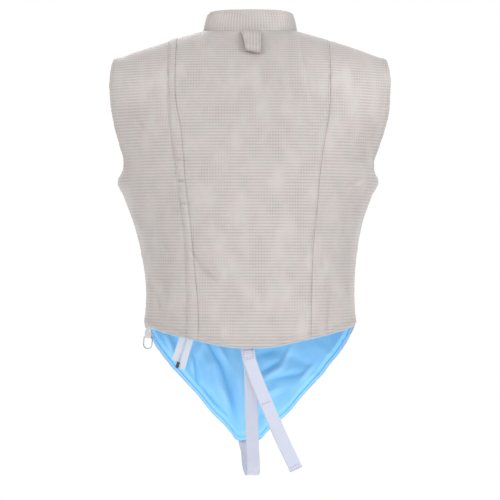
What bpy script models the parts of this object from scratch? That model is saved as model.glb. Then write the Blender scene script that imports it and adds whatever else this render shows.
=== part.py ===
"""A fencing lame vest, hollow and filled out as if worn, modelled in metres.

+Z is up, +X is the wearer's left and +Y is the back. The origin lies midway between the two neck
points, where the shoulder seams meet the collar and the wearer's shoulders carry the vest.

Every cloth piece is an open surface with a Solidify modifier. The front and the back are one
surface each, in two parameters: u runs from -1 at the right side seam, through 0 at the middle, to
1 at the left side seam, and v from 0 at the hem, through 1 at the underarm, to 2 at the shoulder
seam and the neckline.
"""

import math
from collections import namedtuple

import bmesh
import bpy
import numpy as np

BACK = 1
FRONT = -1

# Heights of the cut, all below the neck points
UNDERARM_HEIGHT = -0.235
SIDE_HEM_HEIGHT = -0.4595
BACK_HEM_DROP = 0.0310
FRONT_POINT_DROP = 0.1985

# The neckline and the collar band
NECK_HALF_WIDTH = 0.074
NECK_DEPTH = {BACK: 0.052, FRONT: 0.068}
NECK_DROP = {BACK: 0.004, FRONT: 0.050}
NECK_SHARE = 0.30
SHOULDER_SHARE = 0.45
COLLAR_TAPER = 0.006
COLLAR_LAP_ANGLE = math.radians(67)
COLLAR_LAP = math.radians(24)

# The shoulders
SHOULDER_TIP = 0.2135
SHOULDER_FALL = 0.044
SHOULDER_BOW = 0.0012
SHOULDER_ROLL = 2.6
SQUARENESS = {BACK: 2.4, FRONT: 2.3}
FRONT_ARMHOLE_SCOOP = 0.014
ARMHOLE_NARROWNESS = 4
ARMHOLE_OPENS_BY = 0.65

# Cloth thicknesses and the gaps between pieces
BACK_WALL = 0.0020
FRONT_WALL = 0.0012
LINING_GAP = 0.0006
LINING_SHORT = 0.004
LINING_TRIM = 0.0015
LINING_WALL = 0.0010
COLLAR_WALL = 0.0020
TAPE_WALL = 0.0008
FLY_WALL = 0.0010
GAP = 0.0003
SEAM_GAP = 0.0004
COLLAR_GAP = 0.0006

# How far round the neck the collar follows each side's points. The front's include the neck points
COLLAR_FOLLOWS = {BACK: 0.280, FRONT: 0.301}
LAP_CLEARANCE = 2 * GAP
LAP_SLIDES_UNDER = 0.45
LAP_UNDER_BY = 0.05

# How far the fly over the zip reaches beyond the left back seam
FLY_OUTSIDE = 0.0012

# The strip inside the back hem
HEM_TAPE_SHOWS = 0.0026
HEM_TAPE_HIDDEN = 0.010

# Straps, zip and ring
STRAP_WIDTH = 0.020
STRAP_WALL = 0.0012
ZIP_TAPE_WIDTH = 0.0115
ZIP_OUT = 0.0975
ZIP_HIDDEN = 0.012
ZIP_TAIL_LENGTH = 0.0415
ZIP_TAIL_LEAN = math.radians(17)
ZIP_TAIL_SPREAD = 0.0008
ZIP_TAPES_APART = 0.0008
ZIP_OUTER_BEHIND = 0.0004
ZIP_INNER_LONGER = 0.18
ZIP_STOP_DOWN = 1.08
ZIP_STOP = (0.0045, 0.0022, 0.0095)
RING_OUT = 0.1640
RING_TWIST = -math.radians(68)
RING_TWIST_DONE = 0.7
RING_TAB_WIDTH = 0.0108
RING_TAB_LENGTH = 0.0185
RING_TAB_SEWN = 0.008
RING_TAB_STRAIGHT = 0.003
RING_TAB_CLEARANCE = 0.0005
RING_WIRE = 0.0016
RING_HALF_WIDTH = 0.0067
RING_LENGTH = 0.0185
RING_TOP_CORNER = 0.0020
RING_BOTTOM_CORNER = 0.0064
RING_CLEARANCE = 0.0007

# The loop under the collar
NECK_LOOP_WALL = 0.0011
NECK_LOOP_TOP = 0.0025
NECK_LOOP_SLANT = 0.13

# Columns from the middle to the neck point, and from there to the seam or the armhole
NECK_COLUMNS = 5
BESIDE_NECK_COLUMNS = 4
SIDE_COLUMNS = 7
FRONT_SIDE_COLUMNS = 9
BACK_ROWS = 8
FRONT_ROWS = 10
UPPER_ROWS = 13
STEP = 1e-4

# The body below the underarm. Its middle leans a little to the left above the waist and at the
# front point
Section = namedtuple("Section", "height half_width back_depth front_depth shift")
SECTIONS = (
    Section(-0.665, 0.1600, 0.1120, 0.1020, 0.0045),
    Section(-0.620, 0.1630, 0.1120, 0.1066, 0.0002),
    Section(-0.560, 0.1660, 0.1120, 0.1110, -0.0005),
    Section(-0.461, 0.1664, 0.1120, 0.1170, 0.0000),
    Section(-0.410, 0.1637, 0.1080, 0.1160, -0.0004),
    Section(-0.347, 0.1699, 0.1100, 0.1180, 0.0016),
    Section(-0.297, 0.1811, 0.1160, 0.1230, 0.0032),
    Section(-0.259, 0.1930, 0.1198, 0.1260, 0.0036),
    Section(-0.235, 0.1985, 0.1210, 0.1270, 0.0028),
    Section(-0.200, 0.2040, 0.1210, 0.1270, 0.0012),
    Section(-0.160, 0.2100, 0.1210, 0.1270, 0.0000),
    Section(-0.110, 0.2160, 0.1210, 0.1270, 0.0000),
    Section(-0.044, 0.2145, 0.1210, 0.1270, 0.0000),
)

# How much further out than that the cloth's own edge is, near the underarm and up the armhole
EdgePoint = namedtuple("EdgePoint", "height further")
EDGE = (
    EdgePoint(-0.3000, 0.0000),
    EdgePoint(-0.2590, 0.0022),
    EdgePoint(-0.2350, 0.0060),
    EdgePoint(-0.2230, -0.0040),
    EdgePoint(-0.2107, -0.0078),
    EdgePoint(-0.1860, -0.0054),
    EdgePoint(-0.1610, -0.0018),
    EdgePoint(-0.1360, 0.0006),
    EdgePoint(-0.1115, 0.0012),
    EdgePoint(-0.0870, 0.0024),
    EdgePoint(-0.0615, 0.0018),
    EdgePoint(-0.0440, 0.0000),
)
EDGE_NARROWNESS = 6

# How far the armhole's edge lies behind or before the side seam, by its share of the way up
EdgeDepth = namedtuple("EdgeDepth", "rise back_depth front_depth")
ARMHOLE_DEPTHS = (
    EdgeDepth(0.00, 0.000, 0.000),
    EdgeDepth(0.012, 0.013, 0.014),
    EdgeDepth(0.040, 0.024, 0.026),
    EdgeDepth(0.120, 0.040, 0.044),
    EdgeDepth(0.250, 0.051, 0.056),
    EdgeDepth(0.400, 0.056, 0.062),
    EdgeDepth(0.600, 0.060, 0.064),
    EdgeDepth(1.000, 0.060, 0.060),
)

# How far the two back seams lie from the middle
SeamPoint = namedtuple("SeamPoint", "height left right")
BACK_SEAMS = (
    SeamPoint(-0.492, 0.0937, 0.0922),
    SeamPoint(-0.404, 0.0940, 0.0942),
    SeamPoint(-0.340, 0.0959, 0.0962),
    SeamPoint(-0.288, 0.1004, 0.1012),
    SeamPoint(-0.241, 0.1070, 0.1048),
    SeamPoint(-0.185, 0.1140, 0.1118),
    SeamPoint(-0.132, 0.1205, 0.1208),
    SeamPoint(-0.078, 0.1220, 0.1225),
    SeamPoint(-0.013, 0.1232, 0.1232),
)

# How far the fly's free edge lies inside the left back seam
FlyPoint = namedtuple("FlyPoint", "height inside")
FLY_WIDTHS = (
    FlyPoint(-0.492, 0.0148),
    FlyPoint(-0.420, 0.0142),
    FlyPoint(-0.382, 0.0108),
    FlyPoint(-0.340, 0.0090),
    FlyPoint(-0.241, 0.0094),
    FlyPoint(-0.200, 0.0112),
    FlyPoint(-0.151, 0.0120),
    FlyPoint(-0.120, 0.0088),
    FlyPoint(-0.013, 0.0092),
)

# The lower edges: how far each has dropped from the side towards its middle, around the body
HemPoint = namedtuple("HemPoint", "around drop")
HEMS = {
    BACK: (
        HemPoint(0.00, 1.000),
        HemPoint(0.08, 0.955),
        HemPoint(0.16, 0.840),
        HemPoint(0.29, 0.620),
        HemPoint(0.41, 0.460),
        HemPoint(0.57, 0.275),
        HemPoint(0.73, 0.125),
        HemPoint(1.00, 0.000),
    ),
    FRONT: (
        HemPoint(0.000, 1.000),
        HemPoint(0.045, 0.998),
        HemPoint(0.062, 0.985),
        HemPoint(0.085, 0.942),
        HemPoint(0.120, 0.886),
        HemPoint(0.21, 0.775),
        HemPoint(0.30, 0.645),
        HemPoint(0.42, 0.495),
        HemPoint(0.54, 0.365),
        HemPoint(0.68, 0.230),
        HemPoint(0.82, 0.110),
        HemPoint(1.00, 0.000),
    ),
}

# The collar's height, by its angle from the middle back
CollarPoint = namedtuple("CollarPoint", "turn height")
COLLAR_HEIGHTS = (
    CollarPoint(0, 0.0330),
    CollarPoint(45, 0.0315),
    CollarPoint(70, 0.0290),
    CollarPoint(95, 0.0265),
    CollarPoint(180, 0.0300),
)

# The loop under the collar: how far down the back, how far off it, its width, and its shift aside
LoopPoint = namedtuple("LoopPoint", "down off width aside")
NECK_LOOP = (
    LoopPoint(0.000, 0.0004, 0.0312, -0.0010),
    LoopPoint(0.005, 0.0026, 0.0308, -0.0014),
    LoopPoint(0.011, 0.0060, 0.0298, -0.0022),
    LoopPoint(0.019, 0.0076, 0.0280, -0.0030),
    LoopPoint(0.028, 0.0076, 0.0256, -0.0038),
    LoopPoint(0.037, 0.0064, 0.0238, -0.0044),
    LoopPoint(0.0405, 0.0042, 0.0234, -0.0046),
    LoopPoint(0.0415, 0.0010, 0.0232, -0.0047),
)

# Soft folds: the middle of each, its direction from the vertical, its size and how far it stands out.
# They fade out over the last of the way round to the side seam
FOLDS_FADE = 0.12
Fold = namedtuple("Fold", "out height lean length width stands")
FOLDS = {
    BACK: (
        Fold(0.150, -0.290, -28, 0.060, 0.014, -0.0030),
        Fold(0.128, -0.335, -38, 0.045, 0.012, 0.0024),
        Fold(0.075, -0.375, 48, 0.040, 0.011, -0.0020),
        Fold(0.140, -0.430, -12, 0.060, 0.012, -0.0030),
        Fold(-0.150, -0.285, 34, 0.050, 0.014, -0.0026),
        Fold(-0.128, -0.435, 4, 0.060, 0.010, -0.0022),
        Fold(0.030, -0.430, 6, 0.080, 0.020, -0.0018),
        Fold(-0.050, -0.400, -5, 0.090, 0.022, 0.0018),
        Fold(0.165, -0.185, 20, 0.045, 0.014, -0.0022),
        Fold(-0.172, -0.205, -66, 0.030, 0.010, -0.0020),
    ),
    FRONT: (
        Fold(0.104, -0.505, -30, 0.060, 0.012, 0.0034),
        Fold(0.080, -0.560, -24, 0.075, 0.013, -0.0036),
        Fold(0.030, -0.585, 4, 0.080, 0.012, 0.0036),
        Fold(0.050, -0.520, -8, 0.060, 0.014, -0.0026),
        Fold(-0.052, -0.545, 34, 0.065, 0.014, -0.0034),
        Fold(-0.090, -0.530, 62, 0.055, 0.012, 0.0030),
        Fold(-0.112, -0.500, 30, 0.050, 0.012, -0.0028),
        Fold(-0.030, -0.600, 14, 0.055, 0.012, -0.0026),
        Fold(0.140, -0.330, -20, 0.060, 0.015, -0.0028),
        Fold(-0.140, -0.330, 20, 0.060, 0.015, -0.0028),
        Fold(0.060, -0.400, 10, 0.080, 0.020, 0.0022),
        Fold(-0.070, -0.390, -8, 0.080, 0.020, 0.0022),
    ),
}

# The crotch strap from inside the back hem, down and under, to the outside of the front point
StrapPoint = namedtuple("StrapPoint", "out back height")
STRAP_SAG = (
    StrapPoint(-0.0004, 0.1020, -0.520),
    StrapPoint(-0.0016, 0.0860, -0.560),
    StrapPoint(-0.0024, 0.0640, -0.606),
    StrapPoint(-0.0040, 0.0360, -0.652),
    StrapPoint(-0.0056, 0.0080, -0.684),
    StrapPoint(-0.0046, -0.0260, -0.703),
    StrapPoint(-0.0006, -0.0620, -0.705),
    StrapPoint(0.0034, -0.0900, -0.692),
    StrapPoint(0.0050, -0.1060, -0.674),
)
STRAP_OUT = 0.0044
STRAP_SEWN_UP = 0.014
STRAP_CLEARANCE = 0.0010
STRAP_SEWN_ON_POINT = 0.022
STRAP_STEPS = 34

# The loose strap end, sewn to the crotch strap just under the hem
TAIL_PATH = (
    StrapPoint(0.0030, 0.1093, -0.4955),
    StrapPoint(0.0020, 0.1080, -0.5050),
    StrapPoint(-0.0035, 0.1090, -0.5230),
    StrapPoint(-0.0160, 0.1110, -0.5550),
    StrapPoint(-0.0330, 0.1135, -0.5950),
    StrapPoint(-0.0505, 0.1120, -0.6350),
    StrapPoint(-0.0560, 0.1110, -0.6465),
)
TAIL_STEPS = 16
TAIL_FLAT_END = 0.033


def follow(rows, column, at):
    """A column of a table at values of its first column, on a cubic curve through the rows."""
    at = np.asarray(at, float)
    start = np.array([row[0] for row in rows], float)
    value = np.array([getattr(row, column) for row in rows], float)
    slope = np.gradient(value, start)
    i = np.clip(np.searchsorted(start, at) - 1, 0, len(start) - 2)
    length = start[i + 1] - start[i]
    t = np.clip((at - start[i]) / length, 0, 1)
    bend = (1 - t) * slope[i] - t * slope[i + 1]
    lean = (1 - 2 * t) * (value[i + 1] - value[i]) / length
    straight = value[i] + t * (value[i + 1] - value[i])
    return straight + t * (1 - t) * (length * bend - length * lean)


def ease(t):
    """0 below 0, 1 above 1, and smooth between them."""
    t = np.clip(t, 0, 1)
    return t * t * (3 - 2 * t)


def hem_height(side, u):
    """The height of the lower edge, from the side seam down to its middle."""
    drop = BACK_HEM_DROP if side == BACK else FRONT_POINT_DROP
    return SIDE_HEM_HEIGHT - drop * follow(HEMS[side], "drop", np.abs(u))


def upper_edge(side, u):
    """The neckline, a quarter oval, and then the shoulder seam, straight but for a slight bow."""
    around = np.abs(u)
    turn = np.clip(around / NECK_SHARE, 0, 1) * math.pi / 2
    along = np.clip((around - NECK_SHARE) / (1 - NECK_SHARE), 0, 1)
    x = NECK_HALF_WIDTH * np.sin(turn) + (SHOULDER_TIP - NECK_HALF_WIDTH) * along
    y = side * NECK_DEPTH[side] * np.cos(turn)
    z = (
        -NECK_DROP[side] * np.abs(np.cos(turn)) ** 1.5
        - SHOULDER_FALL * along
        + SHOULDER_BOW * np.sin(math.pi * along)
    )
    return np.sign(u) * x, y, z


def smooth_point(side, u, v):
    """The front or back without its folds.

    Each level is a quarter oval from the middle to the side seam or the armhole's edge, whose own
    depth is met in the last of the way round. Above the underarm the ovals shrink towards the
    upper edge, as a rounded shoulder does.
    """
    depth_column = "back_depth" if side == BACK else "front_depth"
    around = np.clip(np.abs(u), 0, 1)
    across = np.sign(u) * np.sin(around * math.pi / 2) ** (2 / SQUARENESS[side])
    inwards = np.abs(np.cos(around * math.pi / 2)) ** (2 / SQUARENESS[side])

    low_z = hem_height(side, u)
    low_z = low_z + (UNDERARM_HEIGHT - low_z) * np.clip(v, 0, 1)
    edge = across * np.abs(across) ** EDGE_NARROWNESS
    low_x = follow(SECTIONS, "half_width", low_z) * across + follow(SECTIONS, "shift", low_z)
    low_x = low_x + follow(EDGE, "further", low_z) * edge
    low_y = side * follow(SECTIONS, depth_column, low_z) * inwards

    rise = np.clip(v - 1, 0, 1)
    top_x, top_y, top_z = upper_edge(side, u)
    edge_height = UNDERARM_HEIGHT + (-SHOULDER_FALL - UNDERARM_HEIGHT) * rise
    reach = follow(SECTIONS, "half_width", edge_height)
    further = follow(EDGE, "further", edge_height)
    if side == FRONT:
        further = further - FRONT_ARMHOLE_SCOOP * np.sin(math.pi * rise) ** 2
    near = around**ARMHOLE_NARROWNESS
    deepest = getattr(ARMHOLE_DEPTHS[-1], depth_column) * ease(rise / ARMHOLE_OPENS_BY)
    edge_y = near * follow(ARMHOLE_DEPTHS, depth_column, rise) + (1 - near) * deepest
    chest = follow(SECTIONS, depth_column, edge_height)
    roundness = 1 + (SHOULDER_ROLL - 1) * ease(around / SHOULDER_SHARE)
    roll = (1 - rise**SHOULDER_ROLL) ** (1 / roundness)
    turn = ease(rise)
    high_x = reach * ((1 - turn) * across + turn * top_x / SHOULDER_TIP)
    high_x = high_x + follow(SECTIONS, "shift", edge_height) + further * edge
    high_y = top_y + (side * (edge_y + (chest - edge_y) * inwards) - top_y) * roll
    high_z = UNDERARM_HEIGHT + (top_z - UNDERARM_HEIGHT) * rise

    x = np.where(v > 1, high_x, low_x)
    y = np.where(v > 1, high_y, low_y)
    z = np.where(v > 1, high_z, low_z)
    return np.stack([x, y, z], axis=-1)


def outwards(side, surface, u, v):
    """The unit normal of a surface(side, u, v), from its slopes along u and v."""
    u0, u1 = np.clip(u - STEP, -1, 1), np.clip(u + STEP, -1, 1)
    v0, v1 = np.clip(v - STEP, 0, 2), np.clip(v + STEP, 0, 2)
    along_u = surface(side, u1, v) - surface(side, u0, v)
    along_v = surface(side, u, v1) - surface(side, u, v0)
    normal = -side * np.cross(along_u, along_v)
    return normal / np.linalg.norm(normal, axis=-1, keepdims=True)


def cloth_point(side, u, v):
    """The outer face of the front or back: the smooth body, its folds, and half the seam gap."""
    point = smooth_point(side, u, v)
    stands = np.zeros(np.shape(point)[:-1])
    for fold in FOLDS[side]:
        lean = math.radians(fold.lean)
        x, z = point[..., 0] - fold.out, point[..., 2] - fold.height
        along = (z * math.cos(lean) + x * math.sin(lean)) / fold.length
        beside = (x * math.cos(lean) - z * math.sin(lean)) / fold.width
        stands = stands + fold.stands * np.exp(-(along**2) - beside**2)
    stands = stands * ease((1 - np.abs(u)) / FOLDS_FADE)
    point = point + stands[..., None] * outwards(side, smooth_point, u, v)
    return point + np.array([0, side * SEAM_GAP / 2, 0])


def moved_out(side, u, v, distance):
    """Points on the cloth's outer face, moved out from it, or into the vest where it is negative."""
    distance = np.asarray(distance, float)[..., None]
    return cloth_point(side, u, v) + distance * outwards(side, cloth_point, u, v)


def around_at(side, out, v):
    """The u at which the surface is that far from the middle, at each v."""
    out, v = np.broadcast_arrays(np.asarray(out, float), np.asarray(v, float))
    tries = np.linspace(-1, 1, 401)
    found = np.empty(out.shape)
    for place in np.ndindex(out.shape):
        reach = cloth_point(side, tries, np.full(tries.shape, v[place]))[:, 0]
        found[place] = np.interp(out[place], reach, tries)
    return found


def rows_of(lower, upper=UPPER_ROWS):
    """The values of v for a panel: even below the underarm, and closer at both ends above it,
    where the armhole turns and the shoulder rolls."""
    low = np.linspace(0, 1, lower + 1)[:-1]
    high = 1 + (1 - np.linspace(1, 0, upper + 1) ** SHOULDER_ROLL) ** 2
    return np.concatenate([low, high])


def seam_out(hand, v):
    """How far the left or right back seam is from the middle at each v, by its height there, and
    that height."""
    height = cloth_point(BACK, np.full(np.shape(v), NECK_SHARE), v)[..., 2]
    out = follow(BACK_SEAMS, hand, height)
    height = cloth_point(BACK, around_at(BACK, out, v), v)[..., 2]
    return follow(BACK_SEAMS, hand, height), height


def material(name, colour, roughness, metallic=0.0):
    made = bpy.data.materials.new(name)
    made.use_nodes = True
    shader = made.node_tree.nodes["Principled BSDF"]
    shader.inputs["Base Color"].default_value = (*colour, 1)
    shader.inputs["Roughness"].default_value = roughness
    shader.inputs["Metallic"].default_value = metallic
    made.diffuse_color = (*colour, 1)
    return made


def add(name, mesh, finish, collection):
    """Puts a mesh in the scene under its name, smooth shaded."""
    mesh.materials.append(finish)
    mesh.shade_smooth()
    made = bpy.data.objects.new(name, mesh)
    collection.objects.link(made)
    return made


def surface_mesh(name, grid):
    """An open surface through a grid of points. Seen from its outer side, the columns run to the
    right where the rows run up."""
    rows, columns = grid.shape[:2]
    index = np.arange(rows * columns).reshape(rows, columns)
    corners = (index[:-1, :-1], index[:-1, 1:], index[1:, 1:], index[1:, :-1])
    faces = np.stack(corners, axis=-1).reshape(-1, 4)
    mesh = bpy.data.meshes.new(name)
    mesh.from_pydata(grid.reshape(-1, 3).tolist(), [], faces.tolist())
    return mesh


def cloth(name, grid, wall, finish, collection):
    """A cloth wall whose outer face runs through the grid and whose thickness goes inwards."""
    made = add(name, surface_mesh(name, grid), finish, collection)
    thick = made.modifiers.new("Wall", "SOLIDIFY")
    thick.thickness = wall
    thick.offset = -1
    thick.use_even_offset = True
    return made


def spread(middle, beside):
    """Shares from 0 to 1 across a panel, even about its middle, with a column at the neck point."""
    inner = np.linspace(0, NECK_SHARE, middle + 1)
    outer = np.linspace(NECK_SHARE, 1, beside + 1)[1:]
    half = np.concatenate([inner, outer])
    return (1 + np.concatenate([-half[:0:-1], half])) / 2


def between(low_u, high_u, shares):
    """Values of u from the low edge to the high one at those shares of the way, a row for each v."""
    return low_u[:, None] * (1 - shares) + high_u[:, None] * shares


def panel(side, u, v, inside=0.0):
    """The grid of a panel with those columns at each v. The back's faces look the other way."""
    grid = moved_out(side, u, np.repeat(v[:, None], u.shape[1], axis=1), np.full(u.shape, -inside))
    return grid[:, ::-1] if side == BACK else grid


def towards(start, end):
    """Unit directions from one row of points to another."""
    return (end - start) / np.linalg.norm(end - start, axis=-1, keepdims=True)


def offset_grid(grid, distance):
    """A grid moved along its own normals, so that it keeps its distance from every face."""
    face = np.cross(grid[1:, 1:] - grid[:-1, :-1], grid[1:, :-1] - grid[:-1, 1:])
    face /= np.linalg.norm(face, axis=-1, keepdims=True)
    total = np.zeros_like(grid)
    count = np.zeros(grid.shape[:2])
    corners = (slice(None, -1), slice(1, None))
    for rows in corners:
        for columns in corners:
            total[rows, columns] += face
            count[rows, columns] += 1
    length = np.linalg.norm(total, axis=-1, keepdims=True)
    return grid + distance * total / length * (count[..., None] / length)


def hem_strip(u, inside, below, above):
    """A strip along the back hem, on the panels' own points moved inside. U holds the panels'
    columns at the hem and at the row above it. The strip runs below the hem and above it."""
    v = rows_of(BACK_ROWS)[:2, None] * np.ones(u.shape[1])
    hem, next_row = moved_out(BACK, u, v, np.full(u.shape, -inside))
    upwards = towards(hem, next_row)
    return np.stack([hem - below * upwards, hem + above * upwards])


def make_back(finish, collection):
    """The middle back and the two side backs, parted at the seams that run from shoulder to hem.
    Returns the u of every column, from the right side seam to the left one, at each v."""
    v = rows_of(BACK_ROWS)
    left_out, right_out = seam_out("left", v)[0], -seam_out("right", v)[0]
    half_gap = SEAM_GAP / 2
    side_shares = np.linspace(0, 1, SIDE_COLUMNS + 1)
    centre_shares = np.linspace(0, 1, 2 * (NECK_COLUMNS + BESIDE_NECK_COLUMNS) + 1)
    right = between(-np.ones(len(v)), around_at(BACK, right_out - half_gap, v), side_shares)
    left = between(around_at(BACK, left_out + half_gap, v), np.ones(len(v)), side_shares)
    seams = around_at(BACK, right_out + half_gap, v), around_at(BACK, left_out - half_gap, v)
    centre = between(*seams, centre_shares)
    for name, u in (("back_side_right", right), ("back_centre", centre), ("back_side_left", left)):
        cloth(name, panel(BACK, u, v), BACK_WALL, finish, collection)
    return np.concatenate([right, centre, left], axis=1)


def make_front(shell, lining, collection):
    """The front in one piece, and the lining that shows inside its point, which ends just under
    the shoulder seams. Returns the u of every column."""
    v = rows_of(FRONT_ROWS)
    u = between(-np.ones(len(v)), np.ones(len(v)), spread(NECK_COLUMNS, FRONT_SIDE_COLUMNS))
    outer = panel(FRONT, u, v)
    cloth("front", outer, FRONT_WALL, shell, collection)
    inner = offset_grid(outer, -FRONT_WALL - LINING_GAP)[:-1]
    inner[0] += towards(inner[0], inner[1]) * LINING_SHORT
    inner[:, 0] += towards(inner[:, 0], inner[:, 1]) * LINING_TRIM
    inner[:, -1] += towards(inner[:, -1], inner[:, -2]) * LINING_TRIM
    cloth("front_lining", inner, LINING_WALL, lining, collection)
    return u


def neck_ring(back_u, front_u):
    """The panels' own points round the neck, with their angles from the middle back, falling."""
    angles, points = [], []
    for side, row in ((BACK, back_u[-1]), (FRONT, front_u[-1])):
        row = row[np.abs(row) < COLLAR_FOLLOWS[side]]
        turn = row / NECK_SHARE * math.pi / 2
        angle = turn if side == BACK else -math.pi - turn
        angles.append(angle)
        points.append(cloth_point(side, row, np.full(len(row), 2.0)))
    return np.concatenate(angles), np.concatenate(points)


def make_collar(back_u, front_u, finish, collection):
    """The standing band. It starts at its lap on the left, runs round the back and front, and ends
    under its own start."""
    angle, point = neck_ring(back_u, front_u)
    angle = np.concatenate([angle, angle - 2 * math.pi, angle + 2 * math.pi])
    point = np.tile(point, (3, 1))
    order = np.argsort(angle)
    angle, point = angle[order], point[order]
    first, last = COLLAR_LAP_ANGLE, COLLAR_LAP_ANGLE - 2 * math.pi - COLLAR_LAP
    inside = angle[(angle < first - 0.03) & (angle > last + 0.03)]
    at = np.concatenate([[first], inside[::-1], [last]])
    base = np.stack([np.interp(at, angle, point[:, i]) for i in range(3)], axis=-1)
    inward = -base * np.array([1, 1, 0])
    inward /= np.linalg.norm(inward, axis=1, keepdims=True)
    before_lap = at - (first - 2 * math.pi) - LAP_UNDER_BY
    under = ease(1 - before_lap / LAP_SLIDES_UNDER) * (COLLAR_WALL + LAP_CLEARANCE)
    grid = []
    turn = np.abs((np.degrees(at) + 180) % 360 - 180)
    height = follow(COLLAR_HEIGHTS, "height", turn)
    for up in np.linspace(0, 1, 4):
        moved = base + inward * (under + COLLAR_TAPER * up)[:, None]
        moved[:, 2] += COLLAR_GAP + height * up
        grid.append(moved)
    cloth("collar", np.array(grid), COLLAR_WALL, finish, collection)


def make_fly(finish, collection):
    """The strip sewn along the left back seam, which covers the zip."""
    v = rows_of(BACK_ROWS)
    out, height = seam_out("left", v)
    low = around_at(BACK, out - follow(FLY_WIDTHS, "inside", height), v)
    high = around_at(BACK, out + FLY_OUTSIDE, v)
    grid = panel(BACK, between(low, high, np.linspace(0, 1, 3)), v, -(GAP + FLY_WALL))
    cloth("zip_fly", grid, FLY_WALL, finish, collection)


def make_hem_tape(columns, finish, collection):
    """The narrow strip inside the back hem, whose edge shows under it."""
    grid = hem_strip(columns[:2], BACK_WALL + GAP, HEM_TAPE_SHOWS, HEM_TAPE_HIDDEN)
    cloth("back_hem_tape", grid[:, ::-1], TAPE_WALL, finish, collection)


def path_through(points, steps):
    """Evenly spaced points on a cubic curve through the given ones."""
    points = np.array(points, float)
    lengths = np.linalg.norm(np.diff(points, axis=0), axis=1)
    along = np.concatenate([[0], np.cumsum(lengths)])
    Station = namedtuple("Station", "at out back height")
    rows = [Station(a, *p) for a, p in zip(along, points)]
    at = np.linspace(0, along[-1], steps + 1)
    return np.stack([follow(rows, name, at) for name in ("out", "back", "height")], axis=-1)


def ribbon(path, width, facing):
    """A flat band's grid along a path, of one width or one for each point. Facing is where its
    outer side looks, at each point."""
    tangent = np.gradient(path, axis=0)
    beside = np.cross(tangent, facing)
    beside /= np.linalg.norm(beside, axis=1, keepdims=True)
    half = np.reshape(width, (-1, 1)) / 2
    return np.stack([path - beside * half, path, path + beside * half], axis=1)


def hem_frame(out, width):
    """A point inside the back hem and its tape, with the directions across, down and outwards. A
    flat piece of that width, put there, clears the hem's curve."""
    around = around_at(BACK, np.array([out]), np.zeros(1))
    middle, beside = cloth_point(BACK, np.array([around[0], around[0] - 0.01]), np.zeros(2))
    half = width / 2 * 0.01 / np.linalg.norm(middle - beside)
    ends = np.clip([around[0] - half, around[0] + half], -1, 1)
    bow = np.linalg.norm(middle - cloth_point(BACK, ends, np.zeros(2)).mean(axis=0))
    inside = BACK_WALL + TAPE_WALL + 2 * GAP + bow
    above = np.array([rows_of(BACK_ROWS)[1]])
    start = moved_out(BACK, around, np.zeros(1), np.array([-inside]))[0]
    down = start - moved_out(BACK, around, above, np.array([-inside]))[0]
    down = down / np.linalg.norm(down)
    facing = outwards(BACK, cloth_point, around, np.zeros(1))[0]
    facing = facing - down * (facing @ down)
    facing = facing / np.linalg.norm(facing)
    return start, np.cross(down, facing), down, facing


def make_straps(finish, collection):
    """The crotch strap, in one long sag, and the loose end sewn to it."""
    start, _, down, facing = hem_frame(0.0, STRAP_WIDTH)
    start = start + np.array([STRAP_OUT, 0, 0]) - facing * STRAP_CLEARANCE
    sewn = [start - down * STRAP_SEWN_UP, start]
    clear = GAP + STRAP_WALL + STRAP_CLEARANCE
    low, high = moved_out(FRONT, np.zeros(2), np.array([0.0, 0.07]), np.full(2, clear))
    upwards = (high - low) / np.linalg.norm(high - low)
    tip = low + np.array([STRAP_SAG[-1].out, 0, 0])
    path = path_through([*sewn, *STRAP_SAG, tip, tip + upwards * STRAP_SEWN_ON_POINT], STRAP_STEPS)
    tangent = np.gradient(path, axis=0)
    facing = np.cross(np.array([1.0, 0, 0]), tangent)
    cloth("crotch_strap", ribbon(path, STRAP_WIDTH, facing), STRAP_WALL, finish, collection)

    tail = path_through(TAIL_PATH, TAIL_STEPS)
    tail = np.concatenate([tail, [tail[-1] + towards(tail[-2], tail[-1]) * TAIL_FLAT_END]])
    facing = np.repeat([[0.0, 1.0, 0.0]], len(tail), axis=0)
    cloth("strap_tail", ribbon(tail, STRAP_WIDTH, facing), STRAP_WALL, finish, collection)


def make_zip(tape, dark, collection):
    """The two ends of zip tape under the left back seam, and the stop between them."""
    start, across, down, facing = hem_frame(ZIP_OUT, 2 * ZIP_TAPE_WIDTH)
    lean = down * math.cos(ZIP_TAIL_LEAN) + across * math.sin(ZIP_TAIL_LEAN)
    beside = np.cross(facing, lean)
    steps = (-ZIP_HIDDEN, 0.0, 0.35 * ZIP_TAIL_LENGTH, 0.7 * ZIP_TAIL_LENGTH, ZIP_TAIL_LENGTH)
    for name, hand, longer in (("zip_tape_outer", 1, 0.0), ("zip_tape_inner", -1, ZIP_INNER_LONGER)):
        offset = hand * (ZIP_TAPE_WIDTH + ZIP_TAPES_APART) / 2
        behind = ZIP_OUTER_BEHIND * (hand > 0)
        path = []
        for step in steps:
            along = down if step < 0 else lean
            sway = ZIP_TAIL_SPREAD * hand * (max(step, 0) / ZIP_TAIL_LENGTH) ** 2
            stretch = step * (1 + longer * (step > 0))
            path.append(start + along * stretch - beside * (offset + sway) - facing * behind)
        path = np.array(path)
        grid = ribbon(path, ZIP_TAPE_WIDTH, np.repeat(facing[None], len(path), axis=0))
        cloth(name, grid, TAPE_WALL, tape, collection)
    down_tape = lean * ZIP_TAIL_LENGTH * ZIP_STOP_DOWN
    centre = start + down_tape + facing * (ZIP_STOP[1] / 2 + GAP)
    axes = np.stack([-beside, facing, -lean])
    block("zip_stop", centre, axes, ZIP_STOP, dark, collection)


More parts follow.
